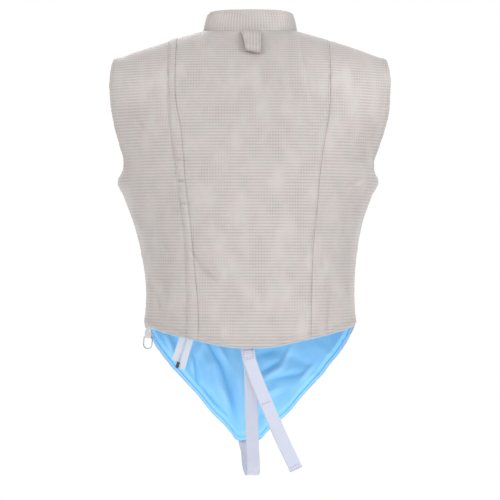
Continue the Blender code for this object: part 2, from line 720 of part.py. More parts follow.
def block(name, centre, axes, size, finish, collection):
    """A small block with softened edges, its sides along the three axes."""
    made = bmesh.new()
    bmesh.ops.create_cube(made, size=1)
    bmesh.ops.scale(made, verts=made.verts, vec=size)
    bmesh.ops.bevel(
        made, geom=list(made.edges), offset=min(size) * 0.2, segments=1, affect="EDGES", profile=0.5
    )
    mesh = bpy.data.meshes.new(name)
    made.to_mesh(mesh)
    made.free()
    places = np.empty(len(mesh.vertices) * 3)
    mesh.vertices.foreach_get("co", places)
    places = places.reshape(-1, 3) @ axes + centre
    mesh.vertices.foreach_set("co", places.ravel())
    return add(name, mesh, finish, collection)


def rod(name, centre_line, radius, finish, collection):
    """A closed round wire along a ring of points."""
    curve = bpy.data.curves.new(name, "CURVE")
    curve.dimensions = "3D"
    curve.bevel_depth = radius
    curve.bevel_resolution = 2
    line = curve.splines.new("POLY")
    line.points.add(len(centre_line) - 1)
    line.use_cyclic_u = True
    for point, place in zip(line.points, centre_line):
        point.co = (*place, 1)
    curve.materials.append(finish)
    made = bpy.data.objects.new(name, curve)
    collection.objects.link(made)
    return made


def turned(vector, axis, angle):
    """A vector turned about a unit axis at right angles to it."""
    return vector * math.cos(angle) + np.cross(axis, vector) * math.sin(angle)


def make_ring(tape, metal, collection):
    """The wire ring at the left end of the hem, held in a folded tape that twists as it hangs."""
    start, across, down, facing = hem_frame(RING_OUT, RING_TAB_WIDTH)
    start = start - facing * RING_TAB_CLEARANCE
    reach = RING_WIRE / 2 + RING_CLEARANCE + TAPE_WALL
    middle = start - facing * reach
    bar = middle + down * RING_TAB_LENGTH
    out = turned(facing, down, RING_TWIST)
    path = [start - down * RING_TAB_SEWN, start + down * RING_TAB_STRAIGHT]
    outer = [facing, facing]
    for share in (0.45, 0.7):
        look = turned(facing, down, RING_TWIST * ease(share / RING_TWIST_DONE))
        path.append(middle + look * reach + down * (RING_TAB_LENGTH * share))
        outer.append(look)
    for turn in np.radians(np.linspace(0, 180, 9)):
        look = out * math.cos(turn) + down * math.sin(turn)
        path.append(bar + look * reach)
        outer.append(look)
    path.append(middle - out * reach + down * (RING_TAB_LENGTH * 0.5))
    outer.append(-out)
    cloth("ring_tab", ribbon(np.array(path), RING_TAB_WIDTH, np.array(outer)), TAPE_WALL, tape, collection)

    across = turned(across, down, RING_TWIST)
    centre_line = []
    top, bottom = RING_TOP_CORNER, RING_LENGTH - RING_BOTTOM_CORNER
    corners = ((1, top, 90, top), (1, bottom, 0, RING_BOTTOM_CORNER))
    corners += ((-1, bottom, -90, RING_BOTTOM_CORNER), (-1, top, 180, top))
    for hand, lower, first, radius in corners:
        sideways = hand * (RING_HALF_WIDTH - radius)
        for turn in np.radians(np.linspace(first, first - 90, 6)):
            beside = sideways + radius * math.cos(turn)
            centre_line.append(bar + across * beside + down * (lower - radius * math.sin(turn)))
    rod("ring", centre_line, RING_WIRE / 2, metal, collection)


def make_neck_loop(finish, collection):
    """The short loop of cloth that hangs from the collar seam at the middle back. It slants, so its
    right edge reaches further down."""
    foot = cloth_point(BACK, np.zeros(1), np.array([2.0]))[0]
    tries = np.linspace(2, 1.5, 401)
    line = cloth_point(BACK, np.zeros(len(tries)), tries)
    travelled = np.linalg.norm(line - foot, axis=1)
    down = np.array([point.down for point in NECK_LOOP])
    off = np.array([point.off for point in NECK_LOOP]) + NECK_LOOP_WALL + GAP
    width = np.array([point.width for point in NECK_LOOP])
    aside = np.array([point.aside for point in NECK_LOOP])
    columns = []
    for share in (-0.5, 0.0, 0.5):
        slanted = down * (1 + NECK_LOOP_SLANT * (0.5 - share))
        v = np.interp(slanted + NECK_LOOP_TOP, travelled, tries)
        column = moved_out(BACK, np.zeros(len(v)), v, off)
        column[:, 0] = aside + share * width
        columns.append(column)
    grid = np.stack(columns, axis=1)
    cloth("neck_loop", grid, NECK_LOOP_WALL, finish, collection)


def main():
    for old in list(bpy.data.objects):
        bpy.data.objects.remove(old)
    vest = bpy.data.collections.new("Fencing lame vest")
    bpy.context.scene.collection.children.link(vest)
    lame = material("Lame cloth", (0.62, 0.58, 0.56), 0.62, 0.15)
    lining = material("Blue lining", (0.22, 0.60, 0.95), 0.45)
    webbing = material("White webbing", (0.80, 0.80, 0.86), 0.7)
    tape = material("Pale tape", (0.62, 0.70, 0.76), 0.7)
    metal = material("Ring metal", (0.72, 0.72, 0.72), 0.3, 1.0)
    dark = material("Dark plastic", (0.03, 0.03, 0.035), 0.4)
    back_columns = make_back(lame, vest)
    front_columns = make_front(lame, lining, vest)
    make_collar(back_columns, front_columns, lame, vest)
    make_fly(lame, vest)
    make_neck_loop(lame, vest)
    make_hem_tape(back_columns, tape, vest)
    make_straps(webbing, vest)
    make_zip(tape, dark, vest)
    make_ring(tape, metal, vest)


main()
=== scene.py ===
"""A fencing lame vest in metallic woven cloth, with its blue lining, webbing, zip ends and ring.

Every piece is worked out from the same body formulas as the vest's solids, at a finer step, and is
then given its seams, turned edges, creases and stitches. Sizes are in metres; +X is the wearer's
left, +Y is the back and +Z is up.
"""

import math
from collections import namedtuple
from functools import lru_cache

import bmesh
import bpy
import numpy as np
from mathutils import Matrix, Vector


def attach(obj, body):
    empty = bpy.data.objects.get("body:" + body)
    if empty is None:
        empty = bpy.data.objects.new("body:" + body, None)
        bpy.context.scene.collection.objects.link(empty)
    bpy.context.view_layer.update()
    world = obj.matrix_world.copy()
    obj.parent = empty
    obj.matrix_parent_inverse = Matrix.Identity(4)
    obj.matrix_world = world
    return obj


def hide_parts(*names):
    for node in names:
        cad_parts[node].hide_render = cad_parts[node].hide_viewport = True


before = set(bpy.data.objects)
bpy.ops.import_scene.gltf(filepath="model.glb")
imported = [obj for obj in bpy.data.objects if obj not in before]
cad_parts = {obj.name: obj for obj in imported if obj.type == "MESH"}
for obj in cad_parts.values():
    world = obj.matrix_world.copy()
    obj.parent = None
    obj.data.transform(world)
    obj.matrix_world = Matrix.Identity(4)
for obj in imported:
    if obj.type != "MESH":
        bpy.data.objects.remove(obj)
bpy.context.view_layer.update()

bl_info = {
    "name": "Fencing Lame Vest",
    "version": (1, 0, 0),
    "blender": (4, 5, 0),
    "location": "View3D > Sidebar > Vest",
    "description": "Builds a worn, hollow fencing lame vest piece by piece",
    "category": "Add Mesh",
}

BACK = 1
FRONT = -1

# The cut of the body: the same sizes as its solids
UNDERARM_HEIGHT = -0.235
SIDE_HEM_HEIGHT = -0.4595
BACK_HEM_DROP = 0.0310
FRONT_POINT_DROP = 0.1985
NECK_HALF_WIDTH = 0.074
NECK_DEPTH = {BACK: 0.052, FRONT: 0.068}
NECK_DROP = {BACK: 0.004, FRONT: 0.050}
NECK_SHARE = 0.30
SHOULDER_SHARE = 0.45
COLLAR_TAPER = 0.006
COLLAR_LAP_ANGLE = math.radians(67)
COLLAR_LAP = math.radians(24)
SHOULDER_TIP = 0.2135
SHOULDER_FALL = 0.044
SHOULDER_BOW = 0.0012
SHOULDER_ROLL = 2.6
SQUARENESS = {BACK: 2.4, FRONT: 2.3}
FRONT_ARMHOLE_SCOOP = 0.014
ARMHOLE_NARROWNESS = 4
ARMHOLE_OPENS_BY = 0.65
EDGE_NARROWNESS = 6
STEP = 1e-4

# Cloth thicknesses and gaps
BACK_WALL = 0.0020
FRONT_WALL = 0.0012
LINING_WALL = 0.0010
LINING_GAP = 0.0006
LINING_EASE = 0.0034
LINING_STRETCH = 0.0006
COLLAR_WALL = 0.0020
TAPE_WALL = 0.0008
FLY_WALL = 0.0006
LOOP_WALL = 0.0011
STRAP_WALL = 0.0012
GAP = 0.0003
SEAM_GAP = 0.0004
SEWN_GAP = 0.00005

# Trim
FLY_OUTSIDE = 0.0012
HEM_TAPE_SHOWS = 0.0026
HEM_TAPE_HIDDEN = 0.010
HEM_ROWS = (0.0055, 0.0090)
STRAP_WIDTH = 0.020
STRAP_OUT = 0.0044
STRAP_SEWN_UP = 0.014
STRAP_CLEARANCE = 0.0010
STRAP_SEWN_ON_POINT = 0.022
TAIL_FLAT_END = 0.033
ZIP_TAPE_WIDTH = 0.0115
ZIP_OUT = 0.0975
ZIP_TAIL_LENGTH = 0.0415
ZIP_INNER_LONGER = 0.18
ZIP_TAIL_LEAN = math.radians(17)
RING_OUT = 0.1640
RING_TWIST = -math.radians(68)
RING_TAB_WIDTH = 0.0108
RING_TAB_LENGTH = 0.0185
RING_WIRE = 0.0016
RING_HALF_WIDTH = 0.0067
RING_LENGTH = 0.0185
RING_TOP_CORNER = 0.0020
RING_BOTTOM_CORNER = 0.0064
LOOP_TOP = 0.0025
LOOP_SLANT = 0.13

# Sewing: each stitch, and the rows' distances from their edges. The loop's are rows of its grid
STITCH_PITCH = 0.0032
STITCH_LENGTH = 0.0025
THREAD_RADIUS = 0.00021
HEAVY_THREAD_RADIUS = 0.00030
EDGE_ROW = 0.0060
EDGE_TURNED = 0.0075
SEAM_ROWS = (0.0030, 0.0040)
LINING_ROW = 0.0058
FRONT_TURNED = 0.0080
BACK_TURNED = 0.0110
LOOP_ROWS = (24, 38)
TAIL_ROWS = (0.0012, 0.0040, 0.0068, 0.0096, 0.0124, 0.0830, 0.0852)
TAIL_END_ROWS = (0.006, 0.003)
TAIL_BOX = 0.0128

# The zip's teeth: how far out, how wide and how thick each ring of a tooth is
TEETH_PITCH = 0.0018
TOOTH_WIDTH = 0.0011
TOOTH_THICKNESS = 0.0014
TOOTH_RINGS = ((0.0, 1.0, 1.0), (0.6, 1.0, 1.0), (1.0, 0.62, 0.7))

# The picture's view, in which the vest's back faces the camera
CAMERA_PLACE = (0, 2.5, -0.344)
CAMERA_LENS = 113.9
FLOOR_REACH = 3.0
LIT_POINT = (0, 0, -0.34)


def table(kind, *numbers):
    """The numbers as rows of that kind."""
    each = len(kind._fields)
    return [kind(*numbers[i : i + each]) for i in range(0, len(numbers), each)]


Section = namedtuple("Section", "height half_width back_depth front_depth shift")
SECTIONS = table(
    Section,
    -0.665, 0.1600, 0.1120, 0.1020, 0.0045,
    -0.620, 0.1630, 0.1120, 0.1066, 0.0002,
    -0.560, 0.1660, 0.1120, 0.1110, -0.0005,
    -0.461, 0.1664, 0.1120, 0.1170, 0.0000,
    -0.410, 0.1637, 0.1080, 0.1160, -0.0004,
    -0.347, 0.1699, 0.1100, 0.1180, 0.0016,
    -0.297, 0.1811, 0.1160, 0.1230, 0.0032,
    -0.259, 0.1930, 0.1198, 0.1260, 0.0036,
    -0.235, 0.1985, 0.1210, 0.1270, 0.0028,
    -0.200, 0.2040, 0.1210, 0.1270, 0.0012,
    -0.160, 0.2100, 0.1210, 0.1270, 0.0000,
    -0.110, 0.2160, 0.1210, 0.1270, 0.0000,
    -0.044, 0.2145, 0.1210, 0.1270, 0.0000,
)

EdgePoint = namedtuple("EdgePoint", "height further")
EDGE = table(
    EdgePoint,
    -0.3000, 0.0000,
    -0.2590, 0.0022,
    -0.2350, 0.0060,
    -0.2230, -0.0040,
    -0.2107, -0.0078,
    -0.1860, -0.0054,
    -0.1610, -0.0018,
    -0.1360, 0.0006,
    -0.1115, 0.0012,
    -0.0870, 0.0024,
    -0.0615, 0.0018,
    -0.0440, 0.0000,
)

EdgeDepth = namedtuple("EdgeDepth", "rise back_depth front_depth")
ARMHOLE_DEPTHS = table(
    EdgeDepth,
    0.00, 0.000, 0.000,
    0.012, 0.013, 0.014,
    0.040, 0.024, 0.026,
    0.120, 0.040, 0.044,
    0.250, 0.051, 0.056,
    0.400, 0.056, 0.062,
    0.600, 0.060, 0.064,
    1.000, 0.060, 0.060,
)

SeamPoint = namedtuple("SeamPoint", "height left right")
BACK_SEAMS = table(
    SeamPoint,
    -0.492, 0.0937, 0.0922,
    -0.404, 0.0940, 0.0942,
    -0.340, 0.0959, 0.0962,
    -0.288, 0.1004, 0.1012,
    -0.241, 0.1070, 0.1048,
    -0.185, 0.1140, 0.1118,
    -0.132, 0.1205, 0.1208,
    -0.078, 0.1220, 0.1225,
    -0.013, 0.1232, 0.1232,
)

# How far the fly's free edge lies inside the left back seam
FlyPoint = namedtuple("FlyPoint", "height inside")
FLY_WIDTHS = table(
    FlyPoint,
    -0.492, 0.0148,
    -0.420, 0.0142,
    -0.382, 0.0108,
    -0.340, 0.0090,
    -0.241, 0.0094,
    -0.200, 0.0112,
    -0.151, 0.0120,
    -0.120, 0.0088,
    -0.013, 0.0092,
)

HemPoint = namedtuple("HemPoint", "around drop")
HEMS = {
    BACK: table(
        HemPoint,
        0.00, 1.000,
        0.08, 0.955,
        0.16, 0.840,
        0.29, 0.620,
        0.41, 0.460,
        0.57, 0.275,
        0.73, 0.125,
        1.00, 0.000,
    ),
    FRONT: table(
        HemPoint,
        0.000, 1.000,
        0.045, 0.998,
        0.062, 0.985,
        0.085, 0.942,
        0.120, 0.886,
        0.21, 0.775,
        0.30, 0.645,
        0.42, 0.495,
        0.54, 0.365,
        0.68, 0.230,
        0.82, 0.110,
        1.00, 0.000,
    ),
}

CollarPoint = namedtuple("CollarPoint", "turn height")
COLLAR_HEIGHTS = table(
    CollarPoint,
    0, 0.0330,
    45, 0.0315,
    70, 0.0290,
    95, 0.0265,
    180, 0.0300,
)

LoopPoint = namedtuple("LoopPoint", "down off width aside")
NECK_LOOP = table(
    LoopPoint,
    0.000, 0.0004, 0.0312, -0.0010,
    0.005, 0.0026, 0.0308, -0.0014,
    0.011, 0.0060, 0.0298, -0.0022,
    0.019, 0.0076, 0.0280, -0.0030,
    0.028, 0.0076, 0.0256, -0.0038,
    0.037, 0.0064, 0.0238, -0.0044,
    0.0405, 0.0042, 0.0234, -0.0046,
    0.0415, 0.0010, 0.0232, -0.0047,
)

# Folds of the solids: middle, direction from the vertical, size, and how far each stands out
Fold = namedtuple("Fold", "out height lean length width stands")
FOLDS = {
    BACK: table(
        Fold,
        0.150, -0.290, -28, 0.060, 0.014, -0.0030,
        0.128, -0.335, -38, 0.045, 0.012, 0.0024,
        0.075, -0.375, 48, 0.040, 0.011, -0.0020,
        0.140, -0.430, -12, 0.060, 0.012, -0.0030,
        -0.150, -0.285, 34, 0.050, 0.014, -0.0026,
        -0.128, -0.435, 4, 0.060, 0.010, -0.0022,
        0.030, -0.430, 6, 0.080, 0.020, -0.0018,
        -0.050, -0.400, -5, 0.090, 0.022, 0.0018,
        0.165, -0.185, 20, 0.045, 0.014, -0.0022,
        -0.172, -0.205, -66, 0.030, 0.010, -0.0020,
    ),
    FRONT: table(
        Fold,
        0.104, -0.505, -30, 0.060, 0.012, 0.0034,
        0.080, -0.560, -24, 0.075, 0.013, -0.0036,
        0.030, -0.585, 4, 0.080, 0.012, 0.0036,
        0.050, -0.520, -8, 0.060, 0.014, -0.0026,
        -0.052, -0.545, 34, 0.065, 0.014, -0.0034,
        -0.090, -0.530, 62, 0.055, 0.012, 0.0030,
        -0.112, -0.500, 30, 0.050, 0.012, -0.0028,
        -0.030, -0.600, 14, 0.055, 0.012, -0.0026,
        0.140, -0.330, -20, 0.060, 0.015, -0.0028,
        -0.140, -0.330, 20, 0.060, 0.015, -0.0028,
        0.060, -0.400, 10, 0.080, 0.020, 0.0022,
        -0.070, -0.390, -8, 0.080, 0.020, 0.0022,
    ),
}

# Finer creases and puckers, in the same columns
CREASES = {
    BACK: table(
        Fold,
        0.1070, -0.2085, 84, 0.0100, 0.0020, -0.0027,
        0.1050, -0.2400, 96, 0.0090, 0.0018, -0.0024,
        0.1010, -0.2740, 86, 0.0080, 0.0018, -0.0021,
        0.1090, -0.2230, 100, 0.0080, 0.0022, 0.0014,
        0.0929, -0.1907, -54, 0.0060, 0.0018, -0.0011,
        -0.1654, -0.2398, -65, 0.0140, 0.0030, -0.0024,
        -0.1707, -0.2080, 90, 0.0070, 0.0020, -0.0013,
        0.1450, -0.4210, 16, 0.0220, 0.0036, -0.0027,
        0.1526, -0.4200, 8, 0.0240, 0.0050, 0.0017,
        0.1299, -0.3417, 34, 0.0110, 0.0032, -0.0018,
        0.1277, -0.3916, 80, 0.0080, 0.0026, -0.0013,
        -0.1209, -0.4452, -4, 0.0260, 0.0032, -0.0024,
        -0.1125, -0.3636, 2, 0.0140, 0.0030, -0.0013,
        0.0650, -0.3818, 52, 0.0200, 0.0036, -0.0020,
        0.0835, -0.3560, 34, 0.0160, 0.0034, -0.0017,
        0.1560, -0.2640, -36, 0.0180, 0.0040, -0.0018,
        -0.1420, -0.3420, 24, 0.0180, 0.0038, -0.0015,
        -0.0880, -0.4620, 6, 0.0160, 0.0036, -0.0013,
        0.1700, -0.1500, 30, 0.0160, 0.0040, -0.0014,
    ),
    FRONT: table(
        Fold,
        0.1480, -0.2460, 62, 0.0180, 0.0036, -0.0022,
        -0.1500, -0.2420, -60, 0.0200, 0.0038, -0.0024,
        0.1360, -0.3900, 24, 0.0220, 0.0040, -0.0020,
        -0.1340, -0.3850, -20, 0.0240, 0.0042, -0.0021,
        0.0880, -0.4450, 38, 0.0180, 0.0036, -0.0015,
        -0.0920, -0.4380, -42, 0.0200, 0.0038, -0.0017,
        0.1560, -0.1500, 28, 0.0180, 0.0040, -0.0015,
        -0.1580, -0.1460, -30, 0.0170, 0.0040, -0.0015,
        0.0400, -0.3100, 74, 0.0220, 0.0046, -0.0011,
        -0.0350, -0.2600, -70, 0.0240, 0.0048, -0.0011,
    ),
}

# Folds of the lining alone, which is fuller than the front. They stand into the vest or fall back
LINING_FOLDS = table(
    Fold,
    0.1348, -0.4983, 20, 0.0196, 0.0042, 0.0034,
    0.1241, -0.4932, 17, 0.0150, 0.0050, -0.0022,
    0.0803, -0.5030, -17, 0.0150, 0.0060, 0.0026,
    0.0564, -0.5188, 30, 0.0271, 0.0042, -0.0034,
    0.0403, -0.5559, 17, 0.0283, 0.0042, -0.0034,
    0.0468, -0.5132, 30, 0.0247, 0.0050, 0.0030,
    0.0189, -0.5558, 5, 0.0343, 0.0060, 0.0034,
    0.0424, -0.5831, 17, 0.0236, 0.0052, 0.0036,
    0.0894, -0.5443, 9, 0.0208, 0.0036, -0.0028,
    0.0961, -0.5322, 12, 0.0146, 0.0036, 0.0026,
    0.0621, -0.5884, 41, 0.0295, 0.0045, -0.0026,
    0.0288, -0.5937, 12, 0.0480, 0.0042, -0.0026,
    -0.0288, -0.5132, -78, 0.0175, 0.0085, -0.0030,
    -0.0600, -0.5214, -27, 0.0202, 0.0048, 0.0034,
    -0.0386, -0.5461, -56, 0.0207, 0.0048, 0.0034,
    -0.0337, -0.5362, -60, 0.0162, 0.0045, -0.0032,
    -0.0641, -0.5508, -80, 0.0321, 0.0050, -0.0028,
    -0.0949, -0.5459, -41, 0.0177, 0.0050, 0.0030,
    -0.0378, -0.5765, -72, 0.0209, 0.0070, 0.0026,
    -0.0148, -0.6217, -18, 0.0171, 0.0060, -0.0020,
    -0.1249, -0.5103, 34, 0.0161, 0.0050, 0.0024,
)

StrapPoint = namedtuple("StrapPoint", "out back height")
STRAP_SAG = table(
    StrapPoint,
    -0.0004, 0.1020, -0.520,
    -0.0016, 0.0860, -0.560,
    -0.0024, 0.0640, -0.606,
    -0.0040, 0.0360, -0.652,
    -0.0056, 0.0080, -0.684,
    -0.0046, -0.0260, -0.703,
    -0.0006, -0.0620, -0.705,
    0.0034, -0.0900, -0.692,
    0.0050, -0.1060, -0.674,
)
TAIL_PATH = table(
    StrapPoint,
    0.0030, 0.1093, -0.4955,
    0.0020, 0.1080, -0.5050,
    -0.0035, 0.1090, -0.5230,
    -0.0160, 0.1110, -0.5550,
    -0.0330, 0.1135, -0.5950,
    -0.0505, 0.1120, -0.6350,
    -0.0560, 0.1110, -0.6465,
)

# Mesh steps: at the edges of a panel, in its middle, and how far the fine step reaches
FINE_STEP = 0.0008
BACK_STEP = 0.0023
FRONT_STEP = 0.0034
FINE_REACH = 0.006
# The weave's columns hang straight at the middle, or that far from it on a side panel
PLUMB_OUT = 0.14
TRIES = 301
# The front's rows lie closer from the hem up to this v, where the lining shows
POINT_ENDS_AT = 0.42

Light = namedtuple("Light", "name place size")
LIGHTS = (
    Light("key_light", (-2.2, 1.45, 1.5), 1.3),
    Light("side_light", (2.2, 1.45, 1.4), 1.3),
    Light("fill_light", (-0.3, 2.4, -1.3), 1.2),
    Light("front_light", (0.8, -3.0, 1.6), 2.4),
)


def ease(t):
    """0 below 0, 1 above 1, and 3t^2 - 2t^3 between them."""
    t = np.clip(t, 0, 1)
    return t * t * (3 - 2 * t)


def bell(t):
    """A soft bump: e to the power of -t^2."""
    return np.exp(-(t**2))


def unit(vectors):
    """The vectors at a length of 1."""
    return vectors / np.linalg.norm(vectors, axis=-1, keepdims=True)


def follow(rows, column, at):
    """A column of a table at values of its first column, on a cubic curve through the rows."""
    at = np.asarray(at, float)
    start = np.array([row[0] for row in rows], float)
    value = np.array([getattr(row, column) for row in rows], float)
    slope = np.gradient(value, start)
    i = np.clip(np.searchsorted(start, at) - 1, 0, len(start) - 2)
    length = start[i + 1] - start[i]
    t = np.clip((at - start[i]) / length, 0, 1)
    bend = (1 - t) * slope[i] - t * slope[i + 1]
    lean = (1 - 2 * t) * (value[i + 1] - value[i]) / length
    straight = value[i] + t * (value[i + 1] - value[i])
    return straight + t * (1 - t) * (length * bend - length * lean)


def unevenness(x, y, size, seed):
    """Smooth bumps from -1 to 1, about that size apart: random heights on a square lattice, joined
    by smooth steps."""
    heights = np.random.default_rng(seed).uniform(-1, 1, (64, 64))
    x, y = np.broadcast_arrays(x / size, y / size)
    column, row = np.floor(x).astype(int), np.floor(y).astype(int)
    right, up = ease(x - column), ease(y - row)

    def corner(across, along):
        return heights[(column + across) % 64, (row + along) % 64]

    lower = corner(0, 0) * (1 - right) + corner(1, 0) * right
    upper = corner(0, 1) * (1 - right) + corner(1, 1) * right
    return lower * (1 - up) + upper * up


def hem_height(side, u):
    """The height of the lower edge: the side hem less the drop's share from the table."""
    drop = BACK_HEM_DROP if side == BACK else FRONT_POINT_DROP
    return SIDE_HEM_HEIGHT - drop * follow(HEMS[side], "drop", np.abs(u))


def upper_edge(side, u):
    """The neckline, a quarter oval, and then the shoulder seam, straight but for a slight bow."""
    around = np.abs(u)
    turn = np.clip(around / NECK_SHARE, 0, 1) * math.pi / 2
    along = np.clip((around - NECK_SHARE) / (1 - NECK_SHARE), 0, 1)
    x = NECK_HALF_WIDTH * np.sin(turn) + (SHOULDER_TIP - NECK_HALF_WIDTH) * along
    y = side * NECK_DEPTH[side] * np.cos(turn)
    z = (
        -NECK_DROP[side] * np.abs(np.cos(turn)) ** 1.5
        - SHOULDER_FALL * along
        + SHOULDER_BOW * np.sin(math.pi * along)
    )
    return np.sign(u) * x, y, z


def smooth_point(side, u, v):
    """The front or back without folds, as quarter ovals from the middle to the side.

    Across is the sine of a quarter turn times |u|, to the power 2 / squareness, and inwards is the
    same of the cosine. Above the underarm each oval shrinks towards the upper edge by
    (1 - rise^2.6)^(1 / roundness).
    """
    depth_column = "back_depth" if side == BACK else "front_depth"
    around = np.clip(np.abs(u), 0, 1)
    across = np.sign(u) * np.sin(around * math.pi / 2) ** (2 / SQUARENESS[side])
    inwards = np.abs(np.cos(around * math.pi / 2)) ** (2 / SQUARENESS[side])

    low_z = hem_height(side, u)
    low_z = low_z + (UNDERARM_HEIGHT - low_z) * np.clip(v, 0, 1)
    edge = across * np.abs(across) ** EDGE_NARROWNESS
    low_x = follow(SECTIONS, "half_width", low_z) * across + follow(SECTIONS, "shift", low_z)
    low_x = low_x + follow(EDGE, "further", low_z) * edge
    low_y = side * follow(SECTIONS, depth_column, low_z) * inwards

    rise = np.clip(v - 1, 0, 1)
    top_x, top_y, top_z = upper_edge(side, u)
    edge_height = UNDERARM_HEIGHT + (-SHOULDER_FALL - UNDERARM_HEIGHT) * rise
    reach = follow(SECTIONS, "half_width", edge_height)
    further = follow(EDGE, "further", edge_height)
    if side == FRONT:
        further = further - FRONT_ARMHOLE_SCOOP * np.sin(math.pi * rise) ** 2
    near = around**ARMHOLE_NARROWNESS
    deepest = getattr(ARMHOLE_DEPTHS[-1], depth_column) * ease(rise / ARMHOLE_OPENS_BY)
    edge_y = near * follow(ARMHOLE_DEPTHS, depth_column, rise) + (1 - near) * deepest
    chest = follow(SECTIONS, depth_column, edge_height)
    roundness = 1 + (SHOULDER_ROLL - 1) * ease(around / SHOULDER_SHARE)
    roll = (1 - rise**SHOULDER_ROLL) ** (1 / roundness)
    turn = ease(rise)
    high_x = reach * ((1 - turn) * across + turn * top_x / SHOULDER_TIP)
    high_x = high_x + follow(SECTIONS, "shift", edge_height) + further * edge
    high_y = top_y + (side * (edge_y + (chest - edge_y) * inwards) - top_y) * roll
    high_z = UNDERARM_HEIGHT + (top_z - UNDERARM_HEIGHT) * rise

    x = np.where(v > 1, high_x, low_x)
    y = np.where(v > 1, high_y, low_y)
    z = np.where(v > 1, high_z, low_z)
    return np.stack([x, y, z], axis=-1)


def outwards(side, surface, u, v):
    """The unit normal of a surface(side, u, v), from its slopes along u and v."""
    u0, u1 = np.clip(u - STEP, -1, 1), np.clip(u + STEP, -1, 1)
    v0, v1 = np.clip(v - STEP, 0, 2), np.clip(v + STEP, 0, 2)
    along_u = surface(side, u1, v) - surface(side, u0, v)
    along_v = surface(side, u, v1) - surface(side, u, v0)
    return unit(-side * np.cross(along_u, along_v))


def folds_at(folds, point):
    """How far the folds stand out at points: each a bell along its length and across its width."""
    total = np.zeros(np.shape(point)[:-1])
    for fold in folds:
        lean = math.radians(fold.lean)
        x, z = point[..., 0] - fold.out, point[..., 2] - fold.height
        along = z * math.cos(lean) + x * math.sin(lean)
        beside = x * math.cos(lean) - z * math.sin(lean)
        total = total + fold.stands * np.exp(-((along / fold.length) ** 2) - (beside / fold.width) ** 2)
    return total


def cloth_point(side, u, v):
    """The solid's outer face: the smooth body, its folds, and half the seam gap."""
    point = smooth_point(side, u, v)
    stands = folds_at(FOLDS[side], point) * ease((1 - np.abs(u)) / 0.12)
    point = point + stands[..., None] * outwards(side, smooth_point, u, v)
    return point + np.array([0, side * SEAM_GAP / 2, 0])


def dressed_point(side, u, v):
    """The cloth as it is seen: the solid's face with creases and a light overall unevenness."""
    point = cloth_point(side, u, v)
    around, up = point[..., 0] * 1.2, point[..., 2] + point[..., 1] * 0.6
    stands = folds_at(CREASES[side], point)
    stands = stands + 0.00055 * unevenness(around, up, 0.034, 11 + side)
    stands = stands + 0.00022 * unevenness(around * 1.3, up, 0.011, 21 + side)
    return point + stands[..., None] * outwards(side, smooth_point, u, v)


def moved_out(side, u, v, distance, surface=cloth_point):
    """Points on the cloth's outer face, moved out from it, or into the vest where negative."""
    distance = np.asarray(distance, float)[..., None]
    return surface(side, u, v) + distance * outwards(side, surface, u, v)


def run_along(points, axis):
    """The distance travelled along rows (axis 1) or columns (axis 0) of a grid of points."""
    steps = np.linalg.norm(np.diff(points, axis=axis), axis=-1)
    start = np.zeros_like(np.take(steps, [0], axis=axis))
    return np.concatenate([start, np.cumsum(steps, axis=axis)], axis=axis)


def picked(at, run, values):
    """Rows of values at distances along a run, on straight lines between them."""
    return np.stack([np.interp(at, run, values[:, axis]) for axis in range(3)], axis=-1)


def line_at(grid, measure, distance):
    """A line over a grid, a point in each row where the measure reaches that distance."""
    order = 1 if measure[0, -1] > measure[0, 0] else -1
    return np.array([picked(distance, m[::order], g[::order]) for m, g in zip(measure, grid)])


def spaced(length, fine, coarse, reach):
    """Distances from 0 to length, with the fine step at both ends and the coarse one between."""
    at = np.linspace(0, length, 4001)
    near = np.clip(np.exp(-at / reach) + np.exp(-(length - at) / reach), 0, 1)
    count = np.concatenate([[0], np.cumsum(np.diff(at) / (coarse + (fine - coarse) * near)[1:])])
    return np.interp(np.linspace(0, count[-1], int(round(count[-1])) + 1), count, at)


def rows_for(side, coarse):
    """Values of v whose points lie no further apart than the coarse step, with the underarm in."""
    v = np.linspace(0, 2, 3001)
    u = np.array([-1, -0.6, -0.3, 0, 0.3, 0.6, 1])
    points = smooth_point(side, np.repeat(u[:, None], len(v), axis=1), np.tile(v, (len(u), 1)))
    steps = np.linalg.norm(np.diff(points, axis=1), axis=-1).max(axis=0)
    if side == FRONT:
        steps = steps * (1 + 0.8 * ease((POINT_ENDS_AT - v[1:]) / 0.08))
    along = np.concatenate([[0], np.cumsum(steps)])
    rows = np.interp(spaced(along[-1], FINE_STEP, coarse, FINE_REACH), along, v)
    rows[np.argmin(np.abs(rows - 1))] = 1
    return rows


def around_at(side, out, v):
    """The u at which the solid's face is that far from the middle, at each v."""
    tries = np.linspace(-1, 1, TRIES)
    grid_u, grid_v = np.meshgrid(tries, v)
    reach = cloth_point(side, grid_u, grid_v)[..., 0]
    return np.array([np.interp(o, r, tries) for o, r in zip(np.broadcast_to(out, len(v)), reach)])


def seam_out(hand, v):
    """How far the left or right back seam is from the middle at each v, by its height there, and
    that height."""
    height = cloth_point(BACK, np.full(np.shape(v), NECK_SHARE), v)[..., 2]
    out = follow(BACK_SEAMS, hand, height)
    height = cloth_point(BACK, around_at(BACK, out, v), v)[..., 2]
    return follow(BACK_SEAMS, hand, height), height


def columns_between(side, low_u, high_u, v, coarse):
    """Columns from the low edge to the high one, evenly spaced over the cloth in every row."""
    share = np.linspace(0, 1, TRIES)
    tries = low_u[:, None] * (1 - share) + high_u[:, None] * share
    run = run_along(cloth_point(side, tries, np.repeat(v[:, None], TRIES, axis=1)), 1)
    width = run[:, -1].max()
    stops = spaced(width, FINE_STEP, coarse, FINE_REACH) / width
    return np.array([np.interp(stops * r[-1], r, t) for r, t in zip(run, tries)])


